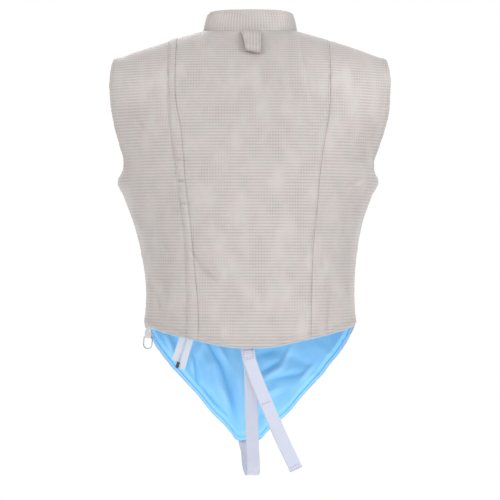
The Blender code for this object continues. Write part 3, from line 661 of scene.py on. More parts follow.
def level(side, height):
    """The distance up the cloth at a height, on the line through the neck point: the same for a
    whole level row of the weave. It counts from the height of that line's hem."""
    v = np.linspace(0, 2, 1201)
    line = cloth_point(side, np.full(len(v), NECK_SHARE), v)
    run = run_along(line[None], 1)[0] + line[0, 2]
    return np.interp(height, line[:, 2], run) + np.minimum(height - line[0, 2], 0)


class Panel:
    """A cut piece of the body, as a grid of points with the distances from its four edges."""

    def __init__(self, side, low_u, high_u, v, coarse):
        self.side = side
        self.u = columns_between(side, low_u, high_u, v, coarse)
        self.v = np.repeat(v[:, None], self.u.shape[1], axis=1)
        self.normal = outwards(side, smooth_point, self.u, self.v)
        self.grid = dressed_point(side, self.u, self.v)
        across, along = run_along(self.grid, 1), run_along(self.grid, 0)
        self.from_low, self.from_high = across, across[:, -1:] - across
        self.from_hem, self.from_top = along, along[-1:] - along
        plumb = float(np.clip(0, *np.mean(self.grid[:, [0, -1], 0], axis=0)))
        plumb = math.copysign(PLUMB_OUT, plumb) if plumb else 0.0
        middle = np.array([np.interp(plumb, g[:, 0], a) for g, a in zip(self.grid, across)])
        self.uv = np.stack([across - middle[:, None], level(side, self.grid[..., 2])], axis=-1)

    def press(self, depth):
        """Moves the cloth out by depth, or in where it is negative."""
        self.grid = self.grid + depth[..., None] * self.normal

    def line_up(self, distance, measure):
        """A line up the panel at that distance from an edge, a point in each row."""
        return line_at(self.grid, measure, distance)

    def line_across(self, distance):
        """A line across the panel at that distance from the hem, a point in each column."""
        return line_at(self.grid.swapaxes(0, 1), self.from_hem.T, distance)

    def ends_relief(self, turned, rows, pucker_from, reach, seed):
        """The turned hem with its puckers, and the shoulder seams."""
        relief = turned_relief(self.from_hem, turned, rows)
        relief = relief + puckers(self.uv[..., 0], self.from_hem - pucker_from, reach, seed)
        return relief + seam_relief(self.from_top) * (np.abs(self.u) > NECK_SHARE)

    def side_relief(self, outer, seed):
        """An outer edge: the side seam up to the underarm, and then the turned armhole."""
        above = ease((self.v - 1) / 0.02)
        relief = seam_relief(outer) * (1 - above) + turned_relief(outer, EDGE_TURNED, (EDGE_ROW,)) * above
        return relief + puckers(self.uv[..., 1], outer, 0.010, seed)


def seam_relief(distance):
    """A sewn seam: the cloth dips at its edge and rides over the seam allowance beside it."""
    return -0.0011 * bell(distance / 0.0011) + 0.00035 * bell((distance - 0.0050) / 0.0030)


def turned_relief(distance, depth, rows):
    """A turned edge: it rolls in at the very edge, is a little thicker as far as it is turned, and
    each row of stitches draws a groove in it."""
    relief = -0.0006 * bell(distance / 0.0010) + 0.0004 * (1 - ease((distance - depth) / 0.0015))
    for row in rows:
        relief = relief - 0.00045 * bell((distance - row) / 0.0009)
    return relief


def puckers(along, distance, reach, seed):
    """Small ripples across a row of stitches, uneven along it, which die out beside it."""
    ripple = unevenness(along, 0.0, 0.0042, seed) + 0.7 * unevenness(along, 0.0, 0.0095, seed + 1)
    return 0.00030 * ripple * bell(distance / reach)


@lru_cache
def back_panels():
    """The right side, middle and left side of the back, with their seams and turned edges."""
    v = rows_for(BACK, BACK_STEP)
    left, right = seam_out("left", v)[0], -seam_out("right", v)[0]
    half = SEWN_GAP / 2
    ones = np.ones(len(v))
    panels = {
        "back_side_right": Panel(BACK, -ones, around_at(BACK, right - half, v), v, BACK_STEP),
        "back_centre": Panel(
            BACK, around_at(BACK, right + half, v), around_at(BACK, left - half, v), v, BACK_STEP
        ),
        "back_side_left": Panel(BACK, around_at(BACK, left + half, v), ones, v, BACK_STEP),
    }
    for number, (name, panel) in enumerate(panels.items()):
        relief = panel.ends_relief(BACK_TURNED, HEM_ROWS, 0.006, 0.008, 31 + number)
        inner, outer = np.minimum(panel.from_low, panel.from_high), None
        if name == "back_side_right":
            outer, inner = panel.from_low, panel.from_high
        elif name == "back_side_left":
            outer, inner = panel.from_high, panel.from_low
        relief = relief + seam_relief(inner) * np.where(panel.u > 0, 0.12, 0.5)
        relief = relief + puckers(panel.uv[..., 1], inner, 0.007, 41 + number)
        if outer is not None:
            relief = relief + panel.side_relief(outer, 51 + number)
        panel.press(relief)
    return panels


@lru_cache
def front_panel():
    """The front, in one piece from side seam to side seam."""
    v = rows_for(FRONT, FRONT_STEP)
    ones = np.ones(len(v))
    panel = Panel(FRONT, -ones, ones, v, FRONT_STEP)
    edge = np.minimum(panel.from_low, panel.from_high)
    relief = panel.ends_relief(FRONT_TURNED, (EDGE_ROW,), 0.0, 0.012, 61) + panel.side_relief(edge, 63)
    panel.press(relief)
    return panel


@lru_cache
def lining_grid():
    """The lining: the front's own points moved in past its wall, with folds of its own that stand
    further in, and a narrow hem all round. Returns its grid, its uv, its hem distances and how far
    its folds stand out, about -1 to 1."""
    panel = front_panel()
    keep = panel.v[:, 0] <= 1.985
    smooth = cloth_point(FRONT, panel.u, panel.v)[keep]
    folds = folds_at(LINING_FOLDS, smooth)
    hem, edge = panel.from_hem[keep], np.minimum(panel.from_low, panel.from_high)[keep]
    free = ease((np.minimum(hem, edge) - 0.007) / 0.010)
    light = unevenness(smooth[..., 0] * 1.2, smooth[..., 2], 0.022, 71)
    light = light + 0.5 * unevenness(smooth[..., 0] * 1.2, smooth[..., 2], 0.009, 72)
    stands = (np.maximum(folds, -LINING_EASE) + 0.0007 * light + LINING_EASE) * free
    hemmed = 0.0009 * bell((hem - 0.0048) / 0.0016) - 0.0005 * bell((hem - 0.0078) / 0.0010)
    inwards = FRONT_WALL + LINING_GAP + 0.0004 + stands + hemmed - 0.0003 * bell(hem / 0.002)
    grid = panel.grid[keep] - inwards[..., None] * panel.normal[keep]
    grid[0] += unit(grid[1] - grid[0]) * LINING_STRETCH
    return grid, panel.uv[keep], hem, (folds * free + hemmed) / LINING_EASE


def surface_mesh(name, grid, uv):
    """An open surface through a grid of points, rows by columns, with a uv for each point."""
    rows, columns = grid.shape[:2]
    index = np.arange(rows * columns).reshape(rows, columns)
    corners = (index[:-1, :-1], index[:-1, 1:], index[1:, 1:], index[1:, :-1])
    faces = np.stack(corners, axis=-1).reshape(-1, 4)
    mesh = bpy.data.meshes.new(name)
    mesh.from_pydata(grid.reshape(-1, 3).tolist(), [], faces.tolist())
    layer = mesh.uv_layers.new(name="Cloth")
    layer.uv.foreach_set("vector", uv.reshape(-1, 2)[faces.ravel()].astype(np.float32).ravel())
    return mesh


def place(name, mesh, finish, nodes, slot):
    """Puts a finished mesh in the scene in place of its solids, riding on the vest."""
    mesh.materials.append(finish)
    mesh.shade_smooth()
    made = bpy.data.objects.new(name, mesh)
    bpy.context.scene.collection.objects.link(made)
    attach(made, "root")
    if nodes:
        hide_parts(*nodes)
    return made


def cloth(name, grid, uv, wall, finish, node, slot="lame"):
    """A cloth wall in place of a solid. Its outer face runs through the grid, and its thickness goes
    inwards."""
    made = place(name, surface_mesh(name, grid, uv), finishes()[finish], (node,), slot)
    thick = made.modifiers.new("Wall", "SOLIDIFY")
    thick.thickness = wall
    thick.offset = -1
    return made


def tube(index, closed=False):
    """Faces between rings of points, and from the last ring to the first where it is closed."""
    after = np.roll(index, -1, axis=1)
    quads = np.stack([index, np.roll(index, -1, axis=0), np.roll(after, -1, axis=0), after], axis=-1)
    return (quads if closed else quads[:-1]).reshape(-1, 4)


def stitches(path, normal, radius):
    """Vertices and faces of a row of stitches along a path: each a thread of five sides at five
    stations, which rises by a radius and dips into the cloth at both ends."""
    run = run_along(path[None], 1)[0]
    count = max(int(run[-1] / STITCH_PITCH), 1)
    middle = (np.arange(count) + 0.5) * run[-1] / count
    at = middle[:, None] + np.array([-0.5, -0.38, 0, 0.38, 0.5]) * STITCH_LENGTH
    centre, up = picked(at, run, path), unit(picked(at, run, normal))
    beside = unit(np.cross(picked(at, run, np.gradient(path, run, axis=0)), up))
    lift = radius * np.array([-1.2, 0.5, 0.9, 0.5, -1.2])
    thick = radius * np.array([0.55, 1.0, 1.0, 1.0, 0.55])
    centre = centre + up * lift[:, None]
    turn = np.linspace(0, 2 * math.pi, 5, endpoint=False)
    ring = beside[:, :, None] * np.cos(turn)[:, None] + up[:, :, None] * np.sin(turn)[:, None]
    points = centre[:, :, None] + ring * thick[:, None, None]
    index = np.arange(25).reshape(5, 5)
    caps = np.array([index[0], index[-1, ::-1]])
    return points.reshape(-1, 3), tube(index), caps, count


def stitching(name, rows, finish, slot, radius=THREAD_RADIUS):
    """One piece with every row of stitches of a group: each row is a path with its normals."""
    points, faces, start = [], [], 0
    for path, normal in rows:
        made, quads, caps, count = stitches(path, normal, radius)
        shift = (np.arange(count) * 25)[:, None, None] + start
        faces += (quads + shift).reshape(-1, 4).tolist() + (caps + shift).reshape(-1, 5).tolist()
        points.append(made)
        start += len(made)
    mesh = bpy.data.meshes.new(name)
    mesh.from_pydata(np.concatenate(points).tolist(), [], faces)
    return place(name, mesh, finish, (), slot)


def normals_of(grid):
    """The unit normals of a grid of points, from its slopes along rows and columns."""
    return unit(np.cross(np.gradient(grid, axis=1), np.gradient(grid, axis=0)))


def resampled(points, step):
    """Points along a path, a step apart."""
    run = run_along(points[None], 1)[0]
    return picked(np.linspace(0, run[-1], max(int(run[-1] / step), 2) + 1), run, points)


def path_through(points, steps):
    """Evenly spaced points on a cubic curve through the given ones."""
    points = np.array(points, float)
    Station = namedtuple("Station", "at out back height")
    along = run_along(points[None], 1)[0]
    rows = [Station(a, *p) for a, p in zip(along, points)]
    at = np.linspace(0, along[-1], steps + 1)
    return np.stack([follow(rows, name, at) for name in ("out", "back", "height")], axis=-1)


def ribbon(path, width, facing, columns=9):
    """A flat band's grid and uv along a path. Facing is where its outer side looks, at each point."""
    beside = unit(np.cross(np.gradient(path, axis=0), facing))
    offset = np.tile(np.linspace(-0.5, 0.5, columns) * width, (len(path), 1))
    grid = path[:, None] + beside[:, None] * offset[..., None]
    run = run_along(path[None], 1)[0]
    return grid, np.stack([offset, np.repeat(run[:, None], columns, axis=1)], axis=-1)


# Materials


class Socket:
    """A shader value that takes Python's own signs for sums, products and powers."""

    def __init__(self, graph, output):
        self.graph, self.output = graph, output

    def __add__(self, other):
        return self.graph.maths("ADD", self, other)

    __radd__ = __add__

    def __sub__(self, other):
        return self.graph.maths("SUBTRACT", self, other)

    def __rsub__(self, other):
        return self.graph.maths("SUBTRACT", other, self)

    def __mul__(self, other):
        return self.graph.maths("MULTIPLY", self, other)

    __rmul__ = __mul__

    def __pow__(self, other):
        return self.graph.maths("POWER", self, other)


class Finish:
    """A material whose Principled shader and pattern nodes are made through a few short calls."""

    def __init__(self, name, colour, roughness, metallic=0.0, **constants):
        self.material = bpy.data.materials.new(name)
        self.material.use_nodes = True
        self.tree = self.material.node_tree
        self.shader = self.tree.nodes["Principled BSDF"]
        self.material.diffuse_color = (*colour, 1)
        self.set(Base_Color=(*colour, 1), Roughness=roughness, Metallic=metallic, **constants)

    def set(self, **inputs):
        """Puts values or links on the shader's sockets, whose names have _ for each space."""
        for name, value in inputs.items():
            self.feed(self.shader.inputs[name.replace("_", " ")], value)

    def feed(self, socket, value):
        """Puts a value or a link on one socket."""
        if isinstance(value, Socket):
            self.tree.links.new(value.output, socket)
        else:
            socket.default_value = value

    def node(self, kind, settings=None, output=0, **inputs):
        """A node of that kind: its settings first, then its sockets by number (i0) or by name."""
        made = self.tree.nodes.new(kind)
        for name, value in (settings or {}).items():
            setattr(made, name, value)
        for name, value in inputs.items():
            key = int(name[1:]) if name[0] == "i" and name[1:].isdigit() else name.replace("_", " ")
            self.feed(made.inputs[key], value)
        return Socket(self, made.outputs[output])

    def maths(self, operation, first, second=0.0):
        """A Math node on two values."""
        return self.node("ShaderNodeMath", {"operation": operation}, i0=first, i1=second)

    def places(self, source="UV"):
        """A vector and its three parts: the cloth's own distances, across and up, or the object's
        x, y and z."""
        vector = self.node("ShaderNodeTexCoord", output=source)
        split = self.node("ShaderNodeSeparateXYZ", Vector=vector)
        return vector, *(Socket(self, part) for part in split.output.node.outputs)

    def noise(self, vector, scale, detail=2.0):
        """Clouds from 0 to 1, finer with a larger scale."""
        return self.node("ShaderNodeTexNoise", Vector=vector, Scale=scale, Detail=detail)

    def clamped(self, value):
        """A value held between 0 and 1."""
        return self.maths("MINIMUM", self.maths("MAXIMUM", value, 0.0), 1.0)

    def patches(self, across, up, scale, shift, share=0.5):
        """Upright patches, from 0 between them to 1 in them: the larger the share, the more of the
        cloth they cover."""
        vector = self.node("ShaderNodeCombineXYZ", i0=across, i1=up * 0.6, i2=shift)
        return self.clamped((self.noise(vector, scale, 1.5) - 0.5) * 4.0 + share)

    def wave(self, place, pitch, sharp=1.0):
        """A ridge every pitch, from 0 to 1: (0.5 + 0.5 cosine) to the power sharp."""
        turned = self.maths("COSINE", place * (2 * math.pi / pitch))
        return (turned * 0.5 + 0.5) ** sharp

    def mix(self, factor, first, second):
        """A colour between two others."""
        return self.node("ShaderNodeMix", {"data_type": "RGBA"}, 2, i0=factor, i6=first, i7=second)

    def bump(self, height, distance, strength):
        """A relief that high, for the light alone."""
        self.set(Normal=self.node("ShaderNodeBump", Height=height, Distance=distance, Strength=strength))


def shade(colour, by):
    """A colour made darker or lighter by one factor or by one for each channel, with full alpha."""
    return (*np.minimum(np.array(colour[:3]) * by, 1.0).tolist(), 1.0)


def metallic_cloth(name, turned=False):
    """The lame: a faint check of metal threads whose rows and columns each show in patches of their
    own, on a light ground that is uneven in colour, rosier here and greener there."""
    ground = tuple(bpy.context.scene.vest_colours.lame)
    sizes = bpy.context.scene.vest_sizes
    finish = Finish(name, ground, 0.55, 0.30, Sheen_Weight=0.15, Sheen_Roughness=0.5)
    uv, across, up, _ = finish.places()
    if turned:
        across, up = up, across
    rows = finish.wave(up, sizes.weave_rows, 1.1) * finish.patches(across, up, 30.0, 0.0, 0.95)
    columns = finish.wave(across, sizes.weave_columns, 1.1) * finish.patches(across, up, 34.0, 3.0, 0.30)
    threads = finish.wave(up, 0.00080) * finish.wave(across, 0.00080)
    rosy = finish.patches(across, up, 60.0, 7.0)
    bright = finish.patches(across, up, 75.0, 11.0)
    tinted = finish.mix(rosy, shade(ground, (0.965, 1.015, 1.0)), shade(ground, (1.0, 0.965, 0.965)))
    tinted = finish.mix(bright * 0.6, tinted, shade(ground, 1.04))
    dark = finish.maths("MINIMUM", rows * 0.60 + columns * 0.30 + threads * 0.12, 1.0)
    finish.set(Base_Color=finish.mix(dark, tinted, shade(ground, sizes.weave_shade)))
    finish.set(Roughness=0.50 + dark * 0.12)
    crumple = finish.noise(uv, 120.0, 3.0)
    finish.bump(rows * 0.26 + columns * 0.18 + threads * 0.30 + crumple, 0.00045, 0.75)
    return finish.material


def satin(name):
    """The lining: a smooth sky blue weave, cloudy in tone, with a painted highlight where a fold stands out
    and painted shade in its troughs.
    """
    colour = tuple(bpy.context.scene.vest_colours.lining)
    finish = Finish(name, colour, 0.42, 0.0, Sheen_Weight=0.35, Sheen_Roughness=0.4)
    uv, across, up, _ = finish.places()
    threads = finish.wave(up, 0.00055) * 0.6 + finish.wave(across, 0.00055) * 0.4
    cloudy = finish.noise(uv, 30.0, 3.0)
    # Painted light: the folds attribute lightens the blue on each fold's crest and darkens it to a deeper
    # teal in its troughs, as painted shade and painted highlight.
    folds = finish.node("ShaderNodeAttribute", {"attribute_name": "folds"}, 2)
    raised = finish.clamped(folds * 0.55 + cloudy * 0.3 + 0.35)
    finish.set(Base_Color=finish.mix(raised, shade(colour, (0.63, 0.88, 0.98)), shade(colour, 1.02)))
    finish.set(Roughness=0.36 + cloudy * 0.14)
    finish.bump(threads * 0.4 + cloudy, 0.00020, 0.6)
    return finish.material


def webbing(name, colour, rib=0.0011):
    """Woven tape: ribs across it and a herringbone of slanting threads along it."""
    finish = Finish(name, colour, 0.62, 0.0, Sheen_Weight=0.2)
    uv, across, up, _ = finish.places()
    ribs = finish.wave(up, rib)
    slant = finish.wave(up + finish.maths("ABSOLUTE", across), rib * 1.9)
    cloudy = finish.noise(uv, 60.0, 2.0)
    dark = ribs * 0.35 + slant * 0.35 + cloudy * 0.3
    finish.set(Base_Color=finish.mix(dark, shade(colour, 1.05), shade(colour, 0.84)))
    finish.set(Roughness=0.55 + cloudy * 0.15)
    finish.bump(ribs * 0.6 + slant * 0.4, 0.00025, 0.7)
    return finish.material


def thread(name, colour):
    """Sewing thread, with its twist showing as fine slanting bands."""
    finish = Finish(name, colour, 0.6, 0.0)
    _, x, y, z = finish.places("Object")
    twist = finish.wave(x + y + z, 0.0006)
    finish.set(Base_Color=finish.mix(twist, shade(colour, 1.05), shade(colour, 0.8)))
    return finish.material


def drawn_steel(name):
    """The ring's bright wire, with faint marks along it and duller patches."""
    colour = tuple(bpy.context.scene.vest_colours.metal)
    finish = Finish(name, colour, 0.3, 1.0)
    worn = finish.noise(finish.node("ShaderNodeTexCoord", output="Object"), 900.0, 3.0)
    finish.set(Base_Color=finish.mix(worn, shade(colour, 0.9), shade(colour, 1.05)))
    finish.set(Roughness=0.22 + worn * 0.25)
    finish.bump(worn, 0.00003, 0.5)
    return finish.material


def moulded(name, colour, roughness):
    """Moulded plastic, very slightly grained."""
    finish = Finish(name, colour, roughness, 0.0)
    grain = finish.noise(finish.node("ShaderNodeTexCoord", output="Object"), 2500.0)
    finish.set(Base_Color=finish.mix(grain, shade(colour, 0.85), shade(colour, 1.15)))
    finish.set(Roughness=roughness - 0.08 + grain * 0.16)
    finish.bump(grain, 0.00003, 0.4)
    return finish.material


@lru_cache
def finishes():
    """Every material of the vest, by name."""
    colours = bpy.context.scene.vest_colours
    return {
        "lame": metallic_cloth("Lame cloth finish"),
        "collar": metallic_cloth("Collar cloth finish", True),
        "lining": satin("Satin lining finish"),
        "webbing": webbing("Webbing finish", tuple(colours.webbing)),
        "tape": webbing("Tape finish", tuple(colours.tape), 0.0009),
        "tab": webbing("Ring tab finish", tuple(colours.tab), 0.0009),
        "binding": webbing("Binding finish", tuple(colours.binding), 0.0009),
        "lame_thread": thread("Grey thread finish", tuple(colours.thread)),
        "hem_thread": thread("Tan thread finish", tuple(colours.hem_thread)),
        "blue_thread": thread("Blue thread finish", tuple(colours.lining_thread)),
        "white_thread": thread("White thread finish", tuple(colours.webbing_thread)),
        "metal": drawn_steel("Ring wire finish"),
        "dark": moulded("Zip pin finish", (0.03, 0.03, 0.035), 0.4),
        "teeth": moulded("Zip teeth finish", (0.50, 0.54, 0.60), 0.35),
    }


# Pieces


def flip(grid, uv):
    """The back's columns in the other order, so that its faces look out."""
    return grid[:, ::-1], uv[:, ::-1]


def declare(grid=None, digits=5):
    """Works out the area of a sheet's grid, rounded to that many digits, where a grid is given. The area is
    neither kept nor stated."""
    area = None if grid is None else round(cloth_area(grid), digits)


def hem_frame(out, width):
    """A point inside the back hem and its tape, with the directions across, down and outwards. A
    flat piece of that width, put there, clears the hem's curve."""
    around = around_at(BACK, np.array([out]), np.zeros(1))
    middle, beside = cloth_point(BACK, np.array([around[0], around[0] - 0.01]), np.zeros(2))
    half = width / 2 * 0.01 / np.linalg.norm(middle - beside)
    ends = np.clip([around[0] - half, around[0] + half], -1, 1)
    bow = np.linalg.norm(middle - cloth_point(BACK, ends, np.zeros(2)).mean(axis=0))
    inside = BACK_WALL + TAPE_WALL + 2 * GAP + bow
    above = np.array([0.125])
    start = moved_out(BACK, around, np.zeros(1), np.array([-inside]))[0]
    down = unit(start - moved_out(BACK, around, above, np.array([-inside]))[0])
    facing = outwards(BACK, cloth_point, around, np.zeros(1))[0]
    facing = unit(facing - down * (facing @ down))
    return start, np.cross(down, facing), down, facing


def make_back():
    """The three back panels and the rows of stitches on them."""
    rows, hem_rows = [], []
    for name, panel in back_panels().items():
        piece = cloth(name + "_cloth", *flip(panel.grid, panel.uv), BACK_WALL, "lame", name)
        declare(panel.grid)
        hem_rows += [on_surface(panel, panel.line_across(distance)) for distance in HEM_ROWS]
        if name == "back_centre":
            rows.append(on_surface(panel, panel.line_up(SEAM_ROWS[0], panel.from_low)))
        else:
            outer = panel.from_low if name == "back_side_right" else panel.from_high
            rows.append(on_surface(panel, panel.line_up(EDGE_ROW, outer)[panel.v[:, 0] >= 1.0]))
        if name == "back_side_left":
            rows.append(on_surface(panel, panel.line_up(SEAM_ROWS[1], panel.from_low)))
    stitching("back_stitches", rows, finishes()["lame_thread"], "lame")
    stitching("hem_stitches", hem_rows, finishes()["hem_thread"], "lame")


def cloth_area(grid):
    """The area of a grid's faces: half the cross product of each face's diagonals."""
    one, two = grid[1:, 1:] - grid[:-1, :-1], grid[1:, :-1] - grid[:-1, 1:]
    return float(np.linalg.norm(np.cross(one, two), axis=-1).sum() / 2)


def on_surface(panel, line):
    """A line on a panel with the cloth's normals at its points."""
    flat = panel.grid[::4, ::4].reshape(-1, 3)
    normal = panel.normal[::4, ::4].reshape(-1, 3)
    nearest = np.array([np.argmin(((flat - p) ** 2).sum(axis=1)) for p in line[::6]])
    run = run_along(line[None], 1)[0]
    return line, picked(run, run[::6], normal[nearest])


def make_front():
    """The front panel with its stitches."""
    panel = front_panel()
    piece = cloth("front_cloth", panel.grid, panel.uv, FRONT_WALL, "lame", "front")
    declare(panel.grid)
    rows = [on_surface(panel, panel.line_across(EDGE_ROW))]
    for measure in (panel.from_low, panel.from_high):
        rows.append(on_surface(panel, panel.line_up(EDGE_ROW, measure)[panel.v[:, 0] >= 1.0]))
    stitching("front_stitches", rows, finishes()["lame_thread"], "lame")


def make_lining():
    """The blue lining inside the front, and its hem's stitches."""
    grid, uv, hem, folds = lining_grid()
    piece = cloth("lining_cloth", grid, uv, LINING_WALL, "lining", "front_lining", "lining")
    # The folds attribute holds how far the lining's folds and hem stand out; the satin turns it into painted
    # shade in the troughs and a painted highlight on the crests.
    layer = piece.data.attributes.new("folds", "FLOAT", "POINT")
    layer.data.foreach_set("value", folds.astype(np.float32).ravel())
    declare(grid)
    inner = grid - LINING_WALL * normals_of(grid)
    row = (line_at(inner.swapaxes(0, 1), hem.T, LINING_ROW), -normals_of(grid)[6])
    stitching("lining_stitches", [row], finishes()["blue_thread"], "lining")


def make_fly():
    """The strip sewn along the left back seam, over the zip, with its outer row of stitches."""
    v = rows_for(BACK, BACK_STEP)
    out, height = seam_out("left", v)
    low = around_at(BACK, out - follow(FLY_WIDTHS, "inside", height), v)
    high = around_at(BACK, out + FLY_OUTSIDE, v)
    share = np.array([0, 0.04, 0.09, 0.16, 0.28, 0.42, 0.56, 0.70, 0.82, 0.90, 0.96, 1.0])
    u = low[:, None] * (1 - share) + high[:, None] * share
    rows = np.repeat(v[:, None], len(share), axis=1)
    up = run_along(cloth_point(BACK, u, rows), 0)
    stands = FLY_WALL + 0.0004 + 0.0005 * bell((share - 0.5) / 0.3)
    ripple = 0.0003 * unevenness(up, 0.0, 0.006, 81) * (1 - share)
    grid = moved_out(BACK, u, rows, stands + ripple, dressed_point)
    grid, uv = flip(grid, np.stack([run_along(grid, 1), up + grid[:1, :, 2]], axis=-1))
    piece = cloth("fly_cloth", grid, uv, FLY_WALL, "lame", "zip_fly")
    declare(grid)
    row = (grid[:, 3], outwards(BACK, smooth_point, u[:, 8], v))
    stitching("fly_stitches", [row], finishes()["lame_thread"], "lame")


def neck_point(angle):
    """A point of the neckline at an angle from the middle back, positive on the wearer's left."""
    angle = (angle + math.pi) % (2 * math.pi) - math.pi
    behind = np.abs(angle) <= math.pi / 2
    u_back = angle / (math.pi / 2) * NECK_SHARE
    u_front = np.sign(angle) * (math.pi - np.abs(angle)) / (math.pi / 2) * NECK_SHARE
    back = cloth_point(BACK, np.where(behind, u_back, 0), np.full(len(angle), 2.0))
    front = cloth_point(FRONT, np.where(behind, 0, u_front), np.full(len(angle), 2.0))
    return np.where(behind[:, None], back, front)


def make_collar():
    """The standing band: the neckline's points raised by the table's heights, leaning in by the
    taper. It starts at its lap on the left and ends under its own start."""
    first, last = COLLAR_LAP_ANGLE, COLLAR_LAP_ANGLE - 2 * math.pi - COLLAR_LAP
    at = np.linspace(first, last, 420)
    base = neck_point(at)
    inward = unit(-base * np.array([1, 1, 0]))
    under = ease((first - 2 * math.pi + 0.5 - at) / 0.45) * (COLLAR_WALL + 0.0010)
    height = follow(COLLAR_HEIGHTS, "height", np.abs((np.degrees(at) + 180) % 360 - 180))
    run = run_along(base[None], 1)[0]
    up = spaced(1.0, 0.02, 0.06, 0.12)
    share = up[:, None]
    puff = 0.0007 * np.sin(math.pi * share) - 0.0005 * bell((share - 0.88) / 0.03)
    puff = puff + 0.0004 * unevenness(run, share * 0.03, 0.016, 91)
    edge = -0.0006 * bell((1 - share) * 0.03 / 0.0010) - 0.0002 * bell(share * 0.03 / 0.0012)
    grid = base + inward * (under + COLLAR_TAPER * share - puff - edge)[..., None]
    grid[..., 2] += -0.0004 + (height + 0.0010) * share
    uv = np.stack(np.broadcast_arrays(run, height * share), axis=-1)
    piece = cloth("collar_cloth", grid, uv, COLLAR_WALL, "collar", "collar")
    declare(grid)
    rows = [(grid[np.argmin(np.abs(up - row))], -inward) for row in (0.12, 0.88)]
    end = np.array([picked(SEAM_ROWS[1], run, row) for row in grid])
    rows.append((end, np.repeat(-inward[:1], len(up), axis=0)))
    stitching("collar_stitches", rows, finishes()["lame_thread"], "lame")


def loop_grid():
    """The loop's points and uv, in rows down it. Its right edge reaches further down by the slant:
    the distance down is d (1 + slant (0.5 - share)), share from -0.5 at the right edge to 0.5."""
    foot = cloth_point(BACK, np.zeros(1), np.array([2.0]))[0]
    tries = np.linspace(2, 1.5, 401)
    travelled = np.linalg.norm(cloth_point(BACK, np.zeros(len(tries)), tries) - foot, axis=1)
    at = np.concatenate([np.linspace(0, 0.0370, 36), np.linspace(0.0375, 0.0415, 10)])
    share = np.linspace(-0.5, 0.5, 15)
    down = at[:, None] * (1 + LOOP_SLANT * (0.5 - share))
    v = np.interp(down + LOOP_TOP, travelled, tries)
    bow = 0.0007 * np.cos(math.pi * share) + 0.0003 * unevenness(down, share * 0.03, 0.008, 95)
    off = (follow(NECK_LOOP, "off", at) + LOOP_WALL + 0.0004)[:, None] + bow
    grid = moved_out(BACK, np.zeros(v.shape), v, off)
    aside, width = follow(NECK_LOOP, "aside", at), follow(NECK_LOOP, "width", at)
    grid[..., 0] = aside[:, None] + share * width[:, None]
    return grid, np.stack([grid[..., 0], down], axis=-1)


def make_neck_loop():
    """The short loop of cloth that hangs from the collar seam, with zigzag sewing low on it."""
    grid, uv = loop_grid()
    piece = cloth("loop_cloth", grid, uv, LOOP_WALL, "collar", "neck_loop")
    declare(grid)
    facing = normals_of(grid)
    facing *= np.sign(facing[..., 1:2])
    low, high = LOOP_ROWS
    columns = np.arange(1, grid.shape[1] - 1)
    zigzag = np.where(columns % 2, low + 3, low + 9)
    places = [(low, columns), (high, columns), (zigzag, columns)]
    places += [(slice(high), columns[0]), (slice(high), columns[-1])]
    rows = [(grid[at], facing[at]) for at in places]
    stitching("loop_stitches", rows, finishes()["lame_thread"], "lame")


def make_hem_tape():
    """The narrow strip inside the back hem, whose edge shows under it."""
    inside = [p.grid - p.normal * (BACK_WALL + GAP + 0.0003) for p in back_panels().values()]
    hem, above = (np.concatenate([grid[row] for grid in inside]) for row in (0, 8))
    upwards = unit(above - hem)
    stops = (-HEM_TAPE_SHOWS, -0.0012, -0.0004, 0.001, 0.004, 0.007, HEM_TAPE_HIDDEN)
    grid = np.stack([hem + stop * upwards for stop in stops])
    grid, uv = flip(grid, np.stack([run_along(grid, 1), run_along(grid, 0)], axis=-1))
    piece = cloth("hem_tape", grid, uv, TAPE_WALL, "binding", "back_hem_tape", "tape")
    declare(grid)


def make_straps():
    """The crotch strap, in one long sag, and the loose end sewn to it, with its stitched box."""
    start, _, down, facing = hem_frame(0.0, STRAP_WIDTH)
    start = start + np.array([STRAP_OUT, 0, 0]) - facing * STRAP_CLEARANCE
    sewn = [start - down * STRAP_SEWN_UP, start]
    clear = GAP + STRAP_WALL + STRAP_CLEARANCE
    low, high = moved_out(FRONT, np.zeros(2), np.array([0.0, 0.07]), np.full(2, clear))
    tip = low + np.array([STRAP_SAG[-1].out, 0, 0])
    path = path_through([*sewn, *STRAP_SAG, tip, tip + unit(high - low) * STRAP_SEWN_ON_POINT], 160)
    grid, uv = ribbon(path, STRAP_WIDTH, np.cross([1.0, 0, 0], np.gradient(path, axis=0)))
    strap = cloth("strap_webbing", grid, uv, STRAP_WALL, "webbing", "crotch_strap", "webbing")
    declare()

    tail = path_through(TAIL_PATH, 60)
    end = tail[-1] + unit(tail[-1] - tail[-2]) * np.linspace(0, TAIL_FLAT_END, 16)[1:, None]
    tail = np.concatenate([tail, end])
    outer = np.repeat([[0.0, 1.0, 0.0]], len(tail), axis=0)
    grid, uv = ribbon(tail, STRAP_WIDTH, outer)
    loose = cloth("tail_webbing", grid, uv, STRAP_WALL, "webbing", "strap_tail", "webbing")
    run = run_along(tail[None], 1)[0]
    length = round(run[-1], 4)
    declare()
    rows = []
    for stop in (*TAIL_ROWS, *(length - row for row in TAIL_END_ROWS)):
        line = grid[np.argmin(np.abs(run - stop)), 1:-1]
        rows.append((line, outer[: len(line)]))
    boxed = run < TAIL_BOX
    rows += [(grid[boxed, column], outer[boxed]) for column in (1, -2)]
    stitching("webbing_stitches", rows, finishes()["white_thread"], "webbing", HEAVY_THREAD_RADIUS)


